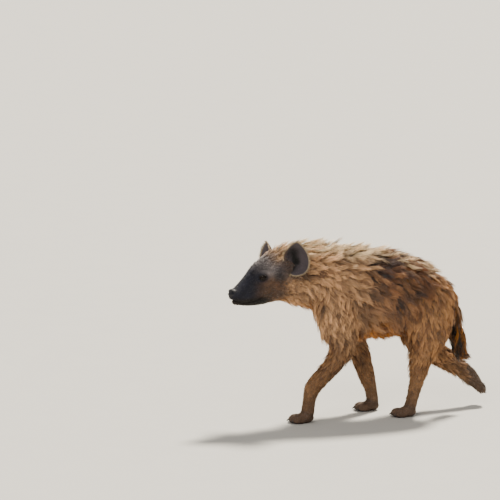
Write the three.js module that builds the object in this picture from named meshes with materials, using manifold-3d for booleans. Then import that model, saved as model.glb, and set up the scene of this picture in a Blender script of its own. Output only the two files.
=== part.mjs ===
// A spotted hyena, nearly a year old, as a life-size still figure in mid-walk.
// It walks towards -X with its left side towards -Y, and stands on three paws with the right
// hind paw lifted behind. Sizes are millimetres, +Z is up, and heights start at the floor.
import * as THREE from "three";
import { mergeVertices } from "three/addons/utils/BufferGeometryUtils.js";
import Module from "manifold-3d";

const wasm = await Module();
wasm.setup();

// Driving dimensions
const GAP = 0.3; // between parts that touch
const ROOT_DEPTH = 9; // how far a lock of hair is sunk into its part
const HEAD_YAW = THREE.MathUtils.degToRad(17.5); // the head turns to the animal's left
const NOSE_TIP = { x: -575, y: -87 };
const EYE = { back: 117, side: 43, height: 543, radius: 12.5 };
const EAR = { wall: 3, cup: 27, deepest: [33, 48] };
const EARS = {
  left: { side: 1, turn: 0.64, back: 197, out: 57, height: 546 },
  right: { side: -1, turn: 0.3, back: 208, out: 58, height: 526 },
};
const COAT = { length: 84, width: 27, thick: 8 };

// Colour and finish of each material
const finishes = {
  coat: { color: 0xa98a66, roughness: 0.95 },
  mane: { color: 0xd9c39b, roughness: 0.95 },
  face: { color: 0x5c5149, roughness: 0.85 },
  ear: { color: 0x6b5f56, roughness: 0.85 },
  leg: { color: 0x85735f, roughness: 0.9 },
  nose: { color: 0x1d1c20, roughness: 0.4 },
  eye: { color: 0x120d0a, roughness: 0.08 },
  tail: { color: 0x2b1a12, roughness: 0.9 },
};

const vec = (x, y, z) => new THREE.Vector3(x, y, z);

// A repeatable random source between 0 and 1
function seeded(seed) {
  let state = seed;
  return () => {
    state = (state + 0x6d2b79f5) | 0;
    let mixed = Math.imul(state ^ (state >>> 15), 1 | state);
    mixed = (mixed + Math.imul(mixed ^ (mixed >>> 7), 61 | mixed)) ^ mixed;
    return ((mixed ^ (mixed >>> 14)) >>> 0) / 4294967296;
  };
}

// The values of one named size along a list of stations, as a smooth curve
function smooth(stations, key, at, name) {
  const last = stations.length - 1;
  let i = 0;
  while (i < last - 1 && stations[i + 1][key] < at) i += 1;
  const here = stations[i];
  const next = stations[i + 1];
  const before = stations[Math.max(i - 1, 0)];
  const after = stations[Math.min(i + 2, last)];
  const span = next[key] - here[key];
  const t = THREE.MathUtils.clamp((at - here[key]) / span, 0, 1);
  const slopeHere = ((next[name] - before[name]) / (next[key] - before[key])) * span;
  const slopeNext = ((after[name] - here[name]) / (after[key] - here[key])) * span;
  const t2 = t * t;
  const t3 = t2 * t;
  return (2 * t3 - 3 * t2 + 1) * here[name] + (t3 - 2 * t2 + t) * slopeHere +
    (3 * t2 - 2 * t3) * next[name] + (t3 - t2) * slopeNext;
}

// A point on a superellipse; power 2 is an ellipse, and more is squarer
function squared(angle, power) {
  const c = Math.cos(angle);
  const s = Math.sin(angle);
  return [Math.sign(c) * Math.abs(c) ** (2 / power), Math.sign(s) * Math.abs(s) ** (2 / power)];
}

// Joins rings of points into one closed solid, with a fan at each end. The last fan may run to a tip.
function skinRings(rings, tip) {
  const sides = rings[0].length;
  const points = rings.flat();
  const faces = [];
  for (let r = 0; r < rings.length - 1; r += 1) {
    for (let k = 0; k < sides; k += 1) {
      const a = r * sides + k;
      const b = r * sides + ((k + 1) % sides);
      faces.push(a, b, b + sides, a, b + sides, a + sides);
    }
  }
  const centreOf = (ring) => ring.reduce((sum, p) => sum.add(p), vec(0, 0, 0)).divideScalar(sides);
  const first = points.push(centreOf(rings[0])) - 1;
  const final = points.push(tip ?? centreOf(rings[rings.length - 1])) - 1;
  const end = (rings.length - 1) * sides;
  for (let k = 0; k < sides; k += 1) {
    faces.push(first, (k + 1) % sides, k);
    faces.push(final, end + k, end + ((k + 1) % sides));
  }
  return solidFrom(points, faces);
}

// A closed solid from points and triangles, turned face outwards if need be
function solidFrom(points, faces) {
  const geometry = new THREE.BufferGeometry().setFromPoints(points).setIndex(faces);
  return solidOf(geometry);
}

function solidOf(geometry) {
  const bare = new THREE.BufferGeometry();
  bare.setAttribute("position", geometry.getAttribute("position"));
  bare.setIndex(geometry.index);
  const merged = mergeVertices(bare, 1e-3);
  const build = (index) => new wasm.Manifold(new wasm.Mesh({
    numProp: 3,
    vertProperties: new Float32Array(merged.attributes.position.array),
    triVerts: new Uint32Array(index),
  }));
  const index = Array.from(merged.index.array);
  const solid = build(index);
  if (solid.volume() > 0) return solid;
  for (let i = 0; i < index.length; i += 3) [index[i + 1], index[i + 2]] = [index[i + 2], index[i + 1]];
  return build(index);
}

function geometryOf(solid) {
  const mesh = solid.getMesh();
  const position = new Float32Array(mesh.numVert * 3);
  for (let i = 0; i < mesh.numVert; i += 1) {
    position.set(mesh.vertProperties.subarray(i * mesh.numProp, i * mesh.numProp + 3), i * 3);
  }
  const geometry = new THREE.BufferGeometry();
  geometry.setAttribute("position", new THREE.BufferAttribute(position, 3));
  geometry.setIndex(new THREE.BufferAttribute(new Uint32Array(mesh.triVerts), 1));
  geometry.computeVertexNormals();
  return geometry;
}

// The same solid with its surface moved outwards
function grown(solid, by) {
  const geometry = geometryOf(solid);
  const { position, normal } = geometry.attributes;
  for (let i = 0; i < position.count; i += 1) {
    position.setXYZ(i, position.getX(i) + by * normal.getX(i), position.getY(i) + by * normal.getY(i),
      position.getZ(i) + by * normal.getZ(i));
  }
  return solidOf(geometry);
}

const largest = (solid) => solid.decompose().sort((a, b) => b.volume() - a.volume())[0];

// The side of a plane that its normal points to, held back by half a gap
function sideOf(solid, point, normal) {
  const n = normal.clone().normalize();
  return solid.trimByPlane([n.x, n.y, n.z], n.dot(point) + GAP / 2);
}

function ball(centre, radii, turn = new THREE.Euler(), around = 11, along = 7) {
  const geometry = new THREE.SphereGeometry(1, around, along);
  geometry.scale(radii.x, radii.y, radii.z);
  geometry.applyMatrix4(new THREE.Matrix4().makeRotationFromEuler(turn));
  geometry.translate(centre.x, centre.y, centre.z);
  return solidOf(geometry);
}

// A body length: upright rings along X, each from its top, bottom and half width
class Trunk {
  constructor(stations, from, to, rings, sides, power) {
    Object.assign(this, { stations, from, to, rings, sides, power });
  }

  size(x, name) {
    return smooth(this.stations, "x", x, name);
  }

  point(x, angle) {
    const [across, up] = squared(angle, this.power);
    const middle = this.size(x, "middle");
    const rise = up > 0 ? this.size(x, "top") - middle : middle - this.size(x, "bottom");
    return vec(x, this.size(x, "y") + across * this.size(x, "half"), middle + up * rise);
  }

  normal(x, angle) {
    const alongX = this.point(x + 4, angle).sub(this.point(x - 4, angle));
    const round = this.point(x, angle + 0.05).sub(this.point(x, angle - 0.05));
    return round.cross(alongX).normalize();
  }

  // The place on the surface beside a point in space, and the way out of the surface there
  beside(p) {
    const x = THREE.MathUtils.clamp(p.x, this.from, this.to);
    const middle = this.size(x, "middle");
    const rise = p.z > middle ? this.size(x, "top") - middle : middle - this.size(x, "bottom");
    const angle = Math.atan2((p.z - middle) / rise, (p.y - this.size(x, "y")) / this.size(x, "half"));
    return { place: this.point(x, angle).setX(p.x), normal: this.normal(x, angle) };
  }

  solid() {
    const rings = [];
    for (let r = 0; r < this.rings; r += 1) {
      const x = THREE.MathUtils.lerp(this.from, this.to, r / (this.rings - 1));
      const ring = [];
      for (let k = 0; k < this.sides; k += 1) ring.push(this.point(x, (k / this.sides) * Math.PI * 2));
      rings.push(ring);
    }
    return skinRings(rings);
  }
}

// A leg or tail: rings square to a path, each with a half depth fore and aft and a half width
class Limb {
  constructor(stations, sides, perStation = 2, power = 2.1) {
    this.stations = stations.map((s, step) => ({ ...s, step }));
    this.curve = new THREE.CatmullRomCurve3(stations.map((s) => vec(s.x, s.y, s.z)), false, "centripetal");
    Object.assign(this, { sides, perStation, power, last: stations.length - 1 });
  }

  point(step, angle) {
    const { centre, side, fore } = this.frame(step);
    const [a, b] = squared(angle, this.power);
    return centre
      .addScaledVector(fore, a * smooth(this.stations, "step", step, "deep"))
      .addScaledVector(side, b * smooth(this.stations, "step", step, "wide"));
  }

  normal(step, angle) {
    const run = this.point(Math.min(step + 0.06, this.last), angle)
      .sub(this.point(Math.max(step - 0.06, 0), angle));
    const round = this.point(step, angle + 0.05).sub(this.point(step, angle - 0.05));
    const normal = round.cross(run).normalize();
    const out = this.point(step, angle).sub(this.curve.getPoint(step / this.last));
    return normal.dot(out) < 0 ? normal.negate() : normal;
  }

  frame(step) {
    const t = THREE.MathUtils.clamp(step / this.last, 0, 1);
    const tangent = this.curve.getTangent(t);
    const side = vec(0, 1, 0).addScaledVector(tangent, -tangent.y).normalize();
    return { centre: this.curve.getPoint(t), tangent, side, fore: side.clone().cross(tangent) };
  }

  beside(p) {
    let near = 0;
    let least = Infinity;
    for (let step = 0; step <= this.last; step += 0.1) {
      const away = this.curve.getPoint(step / this.last).distanceTo(p);
      if (away < least) [least, near] = [away, step];
    }
    const { centre, tangent, side, fore } = this.frame(near);
    const offset = p.clone().sub(centre);
    const deep = smooth(this.stations, "step", near, "deep");
    const wide = smooth(this.stations, "step", near, "wide");
    const angle = Math.atan2(offset.dot(side) / wide, offset.dot(fore) / deep);
    const place = this.point(near, angle).addScaledVector(tangent, offset.dot(tangent));
    return { place, normal: this.normal(near, angle) };
  }

  solid() {
    const rings = [];
    const count = this.last * this.perStation;
    for (let r = 0; r <= count; r += 1) {
      const ring = [];
      for (let k = 0; k < this.sides; k += 1) {
        ring.push(this.point(r / this.perStation, (k / this.sides) * Math.PI * 2));
      }
      rings.push(ring);
    }
    return skinRings(rings);
  }
}

// One lock of hair: a flat tapered blade that rises out of the skin, bends over and follows the lie
function lock({ form, root, lie, length, width, thick, rise, curl, grow = 0 }) {
  const station = (t, wide, deep, lift) => {
    const { place, normal } = form.beside(root.clone().addScaledVector(lie, length * t));
    const across = normal.clone().cross(lie).normalize();
    const out = lie.clone().addScaledVector(normal, -lie.dot(normal)).cross(across).negate().normalize();
    const centre = place.addScaledVector(normal, lift).addScaledVector(across, curl * t * t);
    const half = (width / 2) * wide + grow;
    const thin = (thick / 2) * deep + grow;
    return { centre, ring: [[half, -thin / 2], [0, thin], [-half, -thin / 2]].map(([a, b]) => centre.clone()
      .addScaledVector(across, a).addScaledVector(out, b)) };
  };
  const rings = [
    station(-0.02, 0.8, 0.9, -ROOT_DEPTH),
    station(0.12, 1, 1, rise * 0.35),
    station(0.48, 0.95, 1, rise * 0.9),
    station(0.8, 0.6, 0.7, rise * 1.05),
  ].map((one) => one.ring);
  return skinRings(rings, station(1 + grow / length, 0, 0, rise * 0.95).centre);
}

// Adds the locks that clear the other parts. One that would cross them is lifted, then shortened.
function withLocks(core, locks, others) {
  const pieces = [core];
  const nearby = wasm.Manifold.union(others);
  for (const each of locks) {
    const tries = [
      each,
      { ...each, rise: each.rise + 9 },
      { ...each, length: each.length * 0.65 },
      { ...each, length: each.length * 0.6, rise: each.rise + 10 },
    ];
    const clear = tries.find((one) => lock({ ...one, grow: GAP * 2 }).intersect(nearby).isEmpty());
    if (clear) pieces.push(lock(clear));
  }
  return largest(wasm.Manifold.union(pieces));
}

// Torso, neck and tail stations
const torso = new Trunk([
  { x: -235, top: 604, bottom: 428, half: 62, middle: 520, y: 0 },
  { x: -195, top: 612, bottom: 372, half: 82, middle: 505, y: 0 },
  { x: -150, top: 618, bottom: 322, half: 96, middle: 490, y: 0 },
  { x: -100, top: 618, bottom: 300, half: 104, middle: 478, y: 0 },
  { x: -40, top: 612, bottom: 298, half: 108, middle: 466, y: 0 },
  { x: 30, top: 602, bottom: 302, half: 106, middle: 460, y: 0 },
  { x: 95, top: 592, bottom: 306, half: 103, middle: 460, y: 0 },
  { x: 150, top: 573, bottom: 320, half: 97, middle: 456, y: 0 },
  { x: 200, top: 545, bottom: 350, half: 89, middle: 450, y: 0 },
  { x: 240, top: 512, bottom: 376, half: 76, middle: 444, y: 0 },
  { x: 270, top: 478, bottom: 398, half: 56, middle: 436, y: 0 },
  { x: 290, top: 444, bottom: 418, half: 24, middle: 430, y: 0 },
], -228, 290, 18, 20, 2.15);

const neck = new Trunk([
  { x: -372, top: 626, bottom: 456, half: 62, middle: 545, y: -22 },
  { x: -330, top: 634, bottom: 440, half: 74, middle: 540, y: -12 },
  { x: -285, top: 636, bottom: 428, half: 80, middle: 535, y: -6 },
  { x: -240, top: 630, bottom: 415, half: 84, middle: 525, y: -2 },
  { x: -190, top: 622, bottom: 392, half: 88, middle: 510, y: 0 },
  { x: -150, top: 614, bottom: 360, half: 88, middle: 500, y: 0 },
], -372, -150, 8, 18, 2.1);

const tailPath = new Limb([
  { x: 262, y: 0, z: 480, deep: 19, wide: 20 },
  { x: 287, y: 0, z: 460, deep: 15, wide: 16 },
  { x: 306, y: 0, z: 420, deep: 12, wide: 14 },
  { x: 314, y: 0, z: 376, deep: 11, wide: 12 },
  { x: 319, y: 0, z: 335, deep: 11, wide: 11 },
  { x: 327, y: 0, z: 288, deep: 11, wide: 11 },
  { x: 338, y: 0, z: 240, deep: 8, wide: 8 },
  { x: 347, y: 0, z: 208, deep: 3, wide: 3 },
], 8, 1);

// Leg stations, from inside the body down to the wrist or ankle and on to the toes' roots
const legs = {
  fore_left: new Limb([
    { x: -142, y: -58, z: 500, deep: 50, wide: 30 },
    { x: -160, y: -68, z: 430, deep: 76, wide: 42 },
    { x: -158, y: -76, z: 350, deep: 64, wide: 43 },
    { x: -143, y: -80, z: 285, deep: 47, wide: 35 },
    { x: -165, y: -82, z: 228, deep: 36, wide: 29 },
    { x: -212, y: -83, z: 176, deep: 31, wide: 26 },
    { x: -256, y: -84, z: 130, deep: 30, wide: 27 },
    { x: -271, y: -84, z: 85, deep: 24, wide: 24 },
    { x: -277, y: -84, z: 42, deep: 24, wide: 28 },
    { x: -280, y: -84, z: 16, deep: 22, wide: 27 },
  ], 10),
  fore_right: new Limb([
    { x: -130, y: 58, z: 500, deep: 50, wide: 30 },
    { x: -138, y: 68, z: 430, deep: 74, wide: 42 },
    { x: -112, y: 76, z: 350, deep: 62, wide: 43 },
    { x: -66, y: 80, z: 280, deep: 47, wide: 35 },
    { x: -30, y: 80, z: 228, deep: 38, wide: 29 },
    { x: -12, y: 80, z: 178, deep: 33, wide: 26 },
    { x: 3, y: 80, z: 125, deep: 30, wide: 27 },
    { x: 17, y: 80, z: 82, deep: 23, wide: 24 },
    { x: 24, y: 80, z: 42, deep: 22, wide: 28 },
    { x: 24, y: 80, z: 16, deep: 21, wide: 27 },
  ], 10),
  hind_left: new Limb([
    { x: 190, y: -50, z: 500, deep: 46, wide: 30 },
    { x: 207, y: -60, z: 430, deep: 77, wide: 42 },
    { x: 202, y: -66, z: 356, deep: 84, wide: 44 },
    { x: 189, y: -70, z: 297, deep: 69, wide: 39 },
    { x: 172, y: -72, z: 245, deep: 52, wide: 32 },
    { x: 160, y: -72, z: 196, deep: 38, wide: 26 },
    { x: 152, y: -72, z: 158, deep: 31, wide: 23 },
    { x: 142, y: -72, z: 115, deep: 25, wide: 21 },
    { x: 130, y: -72, z: 68, deep: 22, wide: 22 },
    { x: 122, y: -72, z: 38, deep: 22, wide: 26 },
    { x: 118, y: -72, z: 16, deep: 20, wide: 25 },
  ], 10),
  hind_right: new Limb([
    { x: 190, y: 50, z: 500, deep: 46, wide: 30 },
    { x: 206, y: 60, z: 430, deep: 77, wide: 42 },
    { x: 196, y: 66, z: 360, deep: 78, wide: 43 },
    { x: 188, y: 68, z: 300, deep: 62, wide: 37 },
    { x: 220, y: 68, z: 245, deep: 46, wide: 31 },
    { x: 268, y: 68, z: 208, deep: 40, wide: 27 },
    { x: 308, y: 68, z: 182, deep: 36, wide: 24 },
    { x: 350, y: 68, z: 152, deep: 29, wide: 22 },
    { x: 388, y: 68, z: 128, deep: 28, wide: 25 },
    { x: 410, y: 68, z: 106, deep: 26, wide: 27 },
    { x: 420, y: 68, z: 88, deep: 22, wide: 25 },
  ], 10),
};

// The head's own directions: back from the nose tip, sideways to the left, and up
const headBack = vec(Math.cos(HEAD_YAW), Math.sin(HEAD_YAW), 0);
const headLeft = vec(Math.sin(HEAD_YAW), -Math.cos(HEAD_YAW), 0);
const onHead = (back, side, height) => vec(NOSE_TIP.x, NOSE_TIP.y, height)
  .addScaledVector(headBack, back)
  .addScaledVector(headLeft, side);
const inHeadTurn = new THREE.Matrix4().makeBasis(headBack, headLeft.clone().negate(), vec(0, 0, 1));

// Places a shape made with X back from the nose, Y to the right and Z up
function onHeadSolid(geometry, back, side, height) {
  const placed = geometry.clone().applyMatrix4(inHeadTurn);
  const at = onHead(back, side, height);
  placed.translate(at.x, at.y, at.z);
  return solidOf(placed);
}

function headBall(back, side, height, radii, tilt = 0, around = 9, along = 6) {
  const geometry = new THREE.SphereGeometry(1, around, along).rotateX(Math.PI / 2);
  geometry.scale(...radii).rotateY(tilt);
  return onHeadSolid(geometry, back, side, height);
}

const headStations = [
  { back: 7, top: 499, bottom: 468, half: 19, middle: 484 },
  { back: 16, top: 504, bottom: 460, half: 26, middle: 480 },
  { back: 28, top: 510, bottom: 450, half: 31, middle: 476 },
  { back: 42, top: 521, bottom: 443, half: 34, middle: 475 },
  { back: 60, top: 537, bottom: 439, half: 37, middle: 477 },
  { back: 78, top: 553, bottom: 438, half: 42, middle: 482 },
  { back: 98, top: 571, bottom: 438, half: 49, middle: 492 },
  { back: 120, top: 588, bottom: 439, half: 59, middle: 506 },
  { back: 145, top: 602, bottom: 443, half: 70, middle: 516 },
  { back: 175, top: 613, bottom: 449, half: 76, middle: 522 },
  { back: 205, top: 620, bottom: 453, half: 77, middle: 530 },
  { back: 240, top: 624, bottom: 450, half: 75, middle: 536 },
];

// Swellings and hollows of the face: where they are, how far they reach, and how far they stand out
const faceForms = [
  { back: 104, height: 560, long: 22, tall: 12, out: 5 }, // brow
  { back: 112, height: 540, long: 22, tall: 13, out: -4 }, // eye socket
  { back: 82, height: 505, long: 24, tall: 22, out: -3.5 }, // hollow before the cheek
  { back: 165, height: 500, long: 42, tall: 36, out: 6 }, // cheek
  { back: 48, height: 466, long: 32, tall: 11, out: 4.5 }, // upper lip
  { back: 60, height: 447, long: 34, tall: 8, out: 2 }, // lower lip
];

function onFace(back, across, up, shrink) {
  const size = (name) => smooth(headStations, "back", back, name);
  const middle = size("middle");
  const height = middle + up * ((up > 0 ? size("top") - middle : middle - size("bottom")) - shrink);
  const out = faceForms.reduce((sum, form) => sum + form.out *
    Math.exp(-(((back - form.back) / form.long) ** 2) - ((height - form.height) / form.tall) ** 2), 0);
  return onHead(back, across * (size("half") - shrink + out), height);
}

function headShell(shrink, from, to, rings, sides) {
  const made = [];
  for (let r = 0; r < rings; r += 1) {
    const back = THREE.MathUtils.lerp(from, to, (r / (rings - 1)) ** 1.15);
    const ring = [];
    for (let k = 0; k < sides; k += 1) {
      const [across, up] = squared(((k + 0.5) / sides) * Math.PI * 2, 2.25);
      ring.push(onFace(back, across, up, shrink));
    }
    made.push(ring);
  }
  return skinRings(made);
}

// The line of the mouth, as heights back from the nose
const mouthLine = [[-4, 468], [16, 462], [36, 455], [62, 454], [90, 460], [110, 471]];

function mouthCut() {
  const half = 1.7;
  const outline = new THREE.Shape();
  mouthLine.forEach(([back, height], i) => {
    if (i) outline.lineTo(back, height + half);
    else outline.moveTo(back, height + half);
  });
  [...mouthLine].reverse().forEach(([back, height]) => outline.lineTo(back, height - half));
  const slab = new THREE.ExtrudeGeometry(outline, { depth: 140, bevelEnabled: false }).rotateX(Math.PI / 2);
  slab.translate(0, 70, 0);
  return onHeadSolid(slab, 0, 0, 0).subtract(headShell(5, 12, 150, 6, 10));
}

// The way an eye looks, and the parts that lie round it
const gaze = (side) => headBack.clone().multiplyScalar(-Math.cos(0.92))
  .addScaledVector(headLeft, side * Math.sin(0.92));
const eyeCentre = (side) => onHead(EYE.back, side * EYE.side, EYE.height);

function lidWindow(side) {
  const almond = new THREE.Shape();
  almond.moveTo(-12, -2);
  almond.quadraticCurveTo(-1, 13, 12, 3);
  almond.quadraticCurveTo(2, -13, -12, -2);
  const cutter = new THREE.ExtrudeGeometry(almond, { depth: 40, bevelEnabled: false, curveSegments: 4 });
  const look = gaze(side);
  const up = vec(0, 0, 1);
  const right = up.clone().cross(look).normalize().multiplyScalar(side);
  cutter.applyMatrix4(new THREE.Matrix4().makeBasis(right, up, right.clone().cross(up)));
  if (right.clone().cross(up).dot(look) < 0) {
    cutter.applyMatrix4(new THREE.Matrix4().makeTranslation(look.clone().multiplyScalar(40)));
  }
  const at = eyeCentre(side);
  cutter.translate(at.x, at.y, at.z);
  return solidOf(cutter);
}

function makeHead() {
  const pieces = [headShell(0, 7, 240, 16, 18)];
  const cuts = [mouthCut()];
  for (const side of [1, -1]) {
    const at = eyeCentre(side);
    pieces.push(ball(at, vec(15.6, 15.6, 15)));
    cuts.push(ball(at, vec(1, 1, 1).multiplyScalar(EYE.radius + GAP)));
    cuts.push(lidWindow(side));
  }
  return wasm.Manifold.union(pieces).subtract(wasm.Manifold.union(cuts));
}

// The nose pad, with its two comma-shaped nostrils
function makeNose() {
  const pad = wasm.Manifold.union([
    headBall(12, 0, 490, [15, 21, 15], -0.2, 12, 7),
    headBall(10, 0, 475, [9, 8, 11], 0),
  ]);
  const nostrils = [1, -1].flatMap((side) => [
    headBall(3, side * 10, 490, [9, 4.4, 5], 0.2, 6, 4),
    headBall(13, side * 20, 488, [8, 5, 3.2], -0.15, 6, 4),
  ]);
  return pad.subtract(wasm.Manifold.union(nostrils));
}

// The rim of an ear, as distances out from its inner edge and up from its lowest point
const earRim = [
  [58, 1], [83, 12], [97, 35], [97, 63], [88, 87], [71, 107], [48, 124], [28, 116], [11, 99], [-5, 76],
  [-1, 44], [11, 18], [31, 1],
];

// An ear: a round dish that is deepest near its inner edge
function makeEar({ side, turn, back, out, height }) {
  const open = headBack.clone().multiplyScalar(-Math.cos(turn))
    .addScaledVector(headLeft, side * Math.sin(turn));
  const outward = headBack.clone().multiplyScalar(Math.sin(turn))
    .addScaledVector(headLeft, side * Math.cos(turn));
  const loop = new THREE.CatmullRomCurve3(earRim.map(([u, v]) => vec(u, v, 0)), true);
  const rim = loop.getSpacedPoints(17).slice(0, 17);
  const [u0, v0] = EAR.deepest;
  const place = (r, edge, wall) => {
    const u = THREE.MathUtils.lerp(u0, edge.x, r);
    const v = THREE.MathUtils.lerp(v0, edge.y, r);
    const depth = -EAR.cup * (1 - r ** 2.2) + 9 * r * r * (edge.x / 97) ** 2 - wall;
    return onHead(back, side * out, height + v).addScaledVector(outward, u)
      .addScaledVector(open, depth).addScaledVector(headBack, 0.06 * v);
  };
  const rings = [0.34, 0.66, 0.9, 1];
  const points = [];
  for (const wall of [0, 1]) {
    for (const r of rings) {
      for (const edge of rim) points.push(place(r, edge, wall * EAR.wall * (1.5 - 0.7 * r)));
    }
  }
  const front = points.push(place(0, rim[0], 0)) - 1;
  const rear = points.push(place(0, rim[0], EAR.wall * 1.6)) - 1;
  const sides = rim.length;
  const layer = rings.length * sides;
  const faces = [];
  for (let k = 0; k < sides; k += 1) {
    const next = (k + 1) % sides;
    faces.push(front, k, next, rear, layer + next, layer + k);
    for (let r = 0; r < rings.length - 1; r += 1) {
      const [a, b, c, d] = [r * sides + k, (r + 1) * sides + k, (r + 1) * sides + next, r * sides + next];
      faces.push(a, b, c, a, c, d, layer + c, layer + b, layer + a, layer + d, layer + c, layer + a);
    }
    const edge = (rings.length - 1) * sides;
    faces.push(edge + k, layer + edge + k, layer + edge + next, edge + k, layer + edge + next, edge + next);
  }
  return solidFrom(points, faces);
}

// A paw: a palm, four toes with a claw each, cut flat where it stands
function makePaw(palm, turn, stands, scale = 1) {
  const ahead = vec(-Math.cos(turn.down), 0, -Math.sin(turn.down));
  const under = vec(-Math.sin(turn.down), 0, Math.cos(turn.down)).negate();
  const yaw = new THREE.Euler(0, Math.PI - turn.down, 0);
  const pieces = [ball(palm, vec(34, 31, 22).multiplyScalar(scale), yaw, 8, 5)];
  [-1.5, -0.5, 0.5, 1.5].forEach((place) => {
    const reach = (40 - 7 * Math.abs(place)) * scale;
    const toe = palm.clone().addScaledVector(ahead, reach).add(vec(0, place * 17.6 * scale, 0))
      .addScaledVector(under, 4 * scale);
    pieces.push(ball(toe, vec(24, 8.6, 16).multiplyScalar(scale), yaw, 6, 4));
    const claw = new THREE.ConeGeometry(4.4 * scale, 24 * scale, 3);
    claw.rotateZ(Math.PI / 2);
    claw.rotateY(-(turn.down + 0.35));
    const tip = toe.clone().addScaledVector(ahead, 25 * scale).addScaledVector(under, stands ? 0 : 5);
    claw.translate(tip.x, tip.y, tip.z);
    pieces.push(solidOf(claw));
  });
  return wasm.Manifold.union(pieces);
}

// Locks over a trunk or limb, in staggered rows. style gives the sizes and the lie at each root.
function locksOver(form, { from, to, rows, around, arc, seed, style }) {
  const random = seeded(seed);
  const vary = (amount) => 1 + amount * (2 * random() - 1);
  const found = [];
  for (let r = 0; r < rows; r += 1) {
    for (let k = 0; k < around; k += 1) {
      const at = THREE.MathUtils.lerp(from, to, (r + 0.5 + 0.25 * (2 * random() - 1)) / rows);
      const share = (k + 0.25 + (r % 2) * 0.5 + 0.2 * (2 * random() - 1)) / around;
      const angle = THREE.MathUtils.lerp(arc[0], arc[1], share);
      const root = form.point(at, angle);
      const normal = form.normal(at, angle);
      const { lie, length, width, rise } = style(root, normal, at);
      const turned = lie.clone().applyAxisAngle(normal, 0.3 * (2 * random() - 1));
      found.push({
        form,
        root,
        lie: turned.addScaledVector(normal, -turned.dot(normal)).normalize(),
        length: length * vary(0.15),
        width: width * vary(0.12),
        thick: COAT.thick,
        rise: rise * vary(0.2),
        curl: 12 * (2 * random() - 1),
      });
    }
  }
  return found;
}

// A downward angle as a direction that runs back along the body
const backAndDown = (angle) => vec(Math.cos(angle), 0, -Math.sin(angle));

// Body parts without their locks
const NECK_CUT = { at: vec(-205, 0, 510), front: vec(-1, 0, 0.25) };
const HEAD_CUT = { at: onHead(222, 0, 540), front: headBack.clone().negate().add(vec(0, 0, 0.12)) };
const floor = (solid) => solid.trimByPlane([0, 0, 1], 0);
const away = (normal) => normal.clone().negate();

const torsoCore = sideOf(torso.solid(), NECK_CUT.at, away(NECK_CUT.front));
const neckCore = sideOf(sideOf(neck.solid(), NECK_CUT.at, NECK_CUT.front), HEAD_CUT.at, away(HEAD_CUT.front));
const noseSolid = makeNose();
const headCore = largest(sideOf(makeHead(), HEAD_CUT.at, HEAD_CUT.front).subtract(grown(noseSolid, GAP)));

// Where each leg is parted, as steps along its path
const partings = {
  fore_left: { upper: 3.4, forearm: 6.6 },
  fore_right: { upper: 3.4, forearm: 6.6 },
  hind_left: { thigh: 3.6, shank: 5.9, foot: 8.4 },
  hind_right: { thigh: 3.6, shank: 5.9, foot: 8.4 },
};
const paws = {
  fore_left: { palm: vec(-288, -84, 18), turn: { down: 0.02 }, stands: true },
  fore_right: { palm: vec(16, 80, 18), turn: { down: 0.02 }, stands: true },
  hind_left: { palm: vec(110, -72, 18), turn: { down: 0.02 }, stands: true },
  hind_right: { palm: vec(420, 68, 96), turn: { down: 2.15 }, stands: false },
};

const bodyGrown = grown(wasm.Manifold.union([
  torso.solid(), sideOf(neck.solid(), HEAD_CUT.at, away(HEAD_CUT.front)),
]), GAP);
const parts = new Map();

for (const [name, limb] of Object.entries(legs)) {
  const paw = paws[name];
  let rest = wasm.Manifold.union([limb.solid(), makePaw(paw.palm, paw.turn, paw.stands)]);
  rest = largest(rest.subtract(bodyGrown));
  if (paw.stands) rest = floor(rest);
  for (const [piece, step] of Object.entries(partings[name])) {
    const at = limb.curve.getPoint(step / limb.last);
    const down = limb.curve.getTangent(step / limb.last);
    parts.set(`${name}_${piece}`, largest(sideOf(rest, at, away(down))));
    rest = largest(sideOf(rest, at, down));
  }
  parts.set(`${name}_paw`, rest);
}

const tailCore = largest(tailPath.solid().subtract(grown(torso.solid(), GAP)));
const TAIL_CUT = { at: vec(317, 0, 352), down: vec(0.15, 0, -1) };
parts.set("tail_root", largest(sideOf(tailCore, TAIL_CUT.at, away(TAIL_CUT.down))));
const tuftCore = largest(sideOf(tailCore, TAIL_CUT.at, TAIL_CUT.down));
parts.set("torso", torsoCore);
parts.set("neck", neckCore);
parts.set("head", headCore);
parts.set("nose", noseSolid);
parts.set("tail_tuft", tuftCore);
for (const [word, side] of [["left", 1], ["right", -1]]) {
  parts.set(`eye_${word}`, ball(eyeCentre(side), vec(1, 1, 1).multiplyScalar(EYE.radius)));
  const ear = makeEar(EARS[word]).subtract(grown(headCore, GAP)).subtract(grown(neckCore, GAP));
  parts.set(`ear_${word}`, largest(ear));
}

// The coat. Each part's locks keep clear of every other part and of the locks already on it.
const clamp = THREE.MathUtils.clamp;
const SIDES = { left: -Math.PI / 2, right: Math.PI / 2 };
const crest = (root, over) => clamp((root.z - over) / 60, 0, 1);

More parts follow.
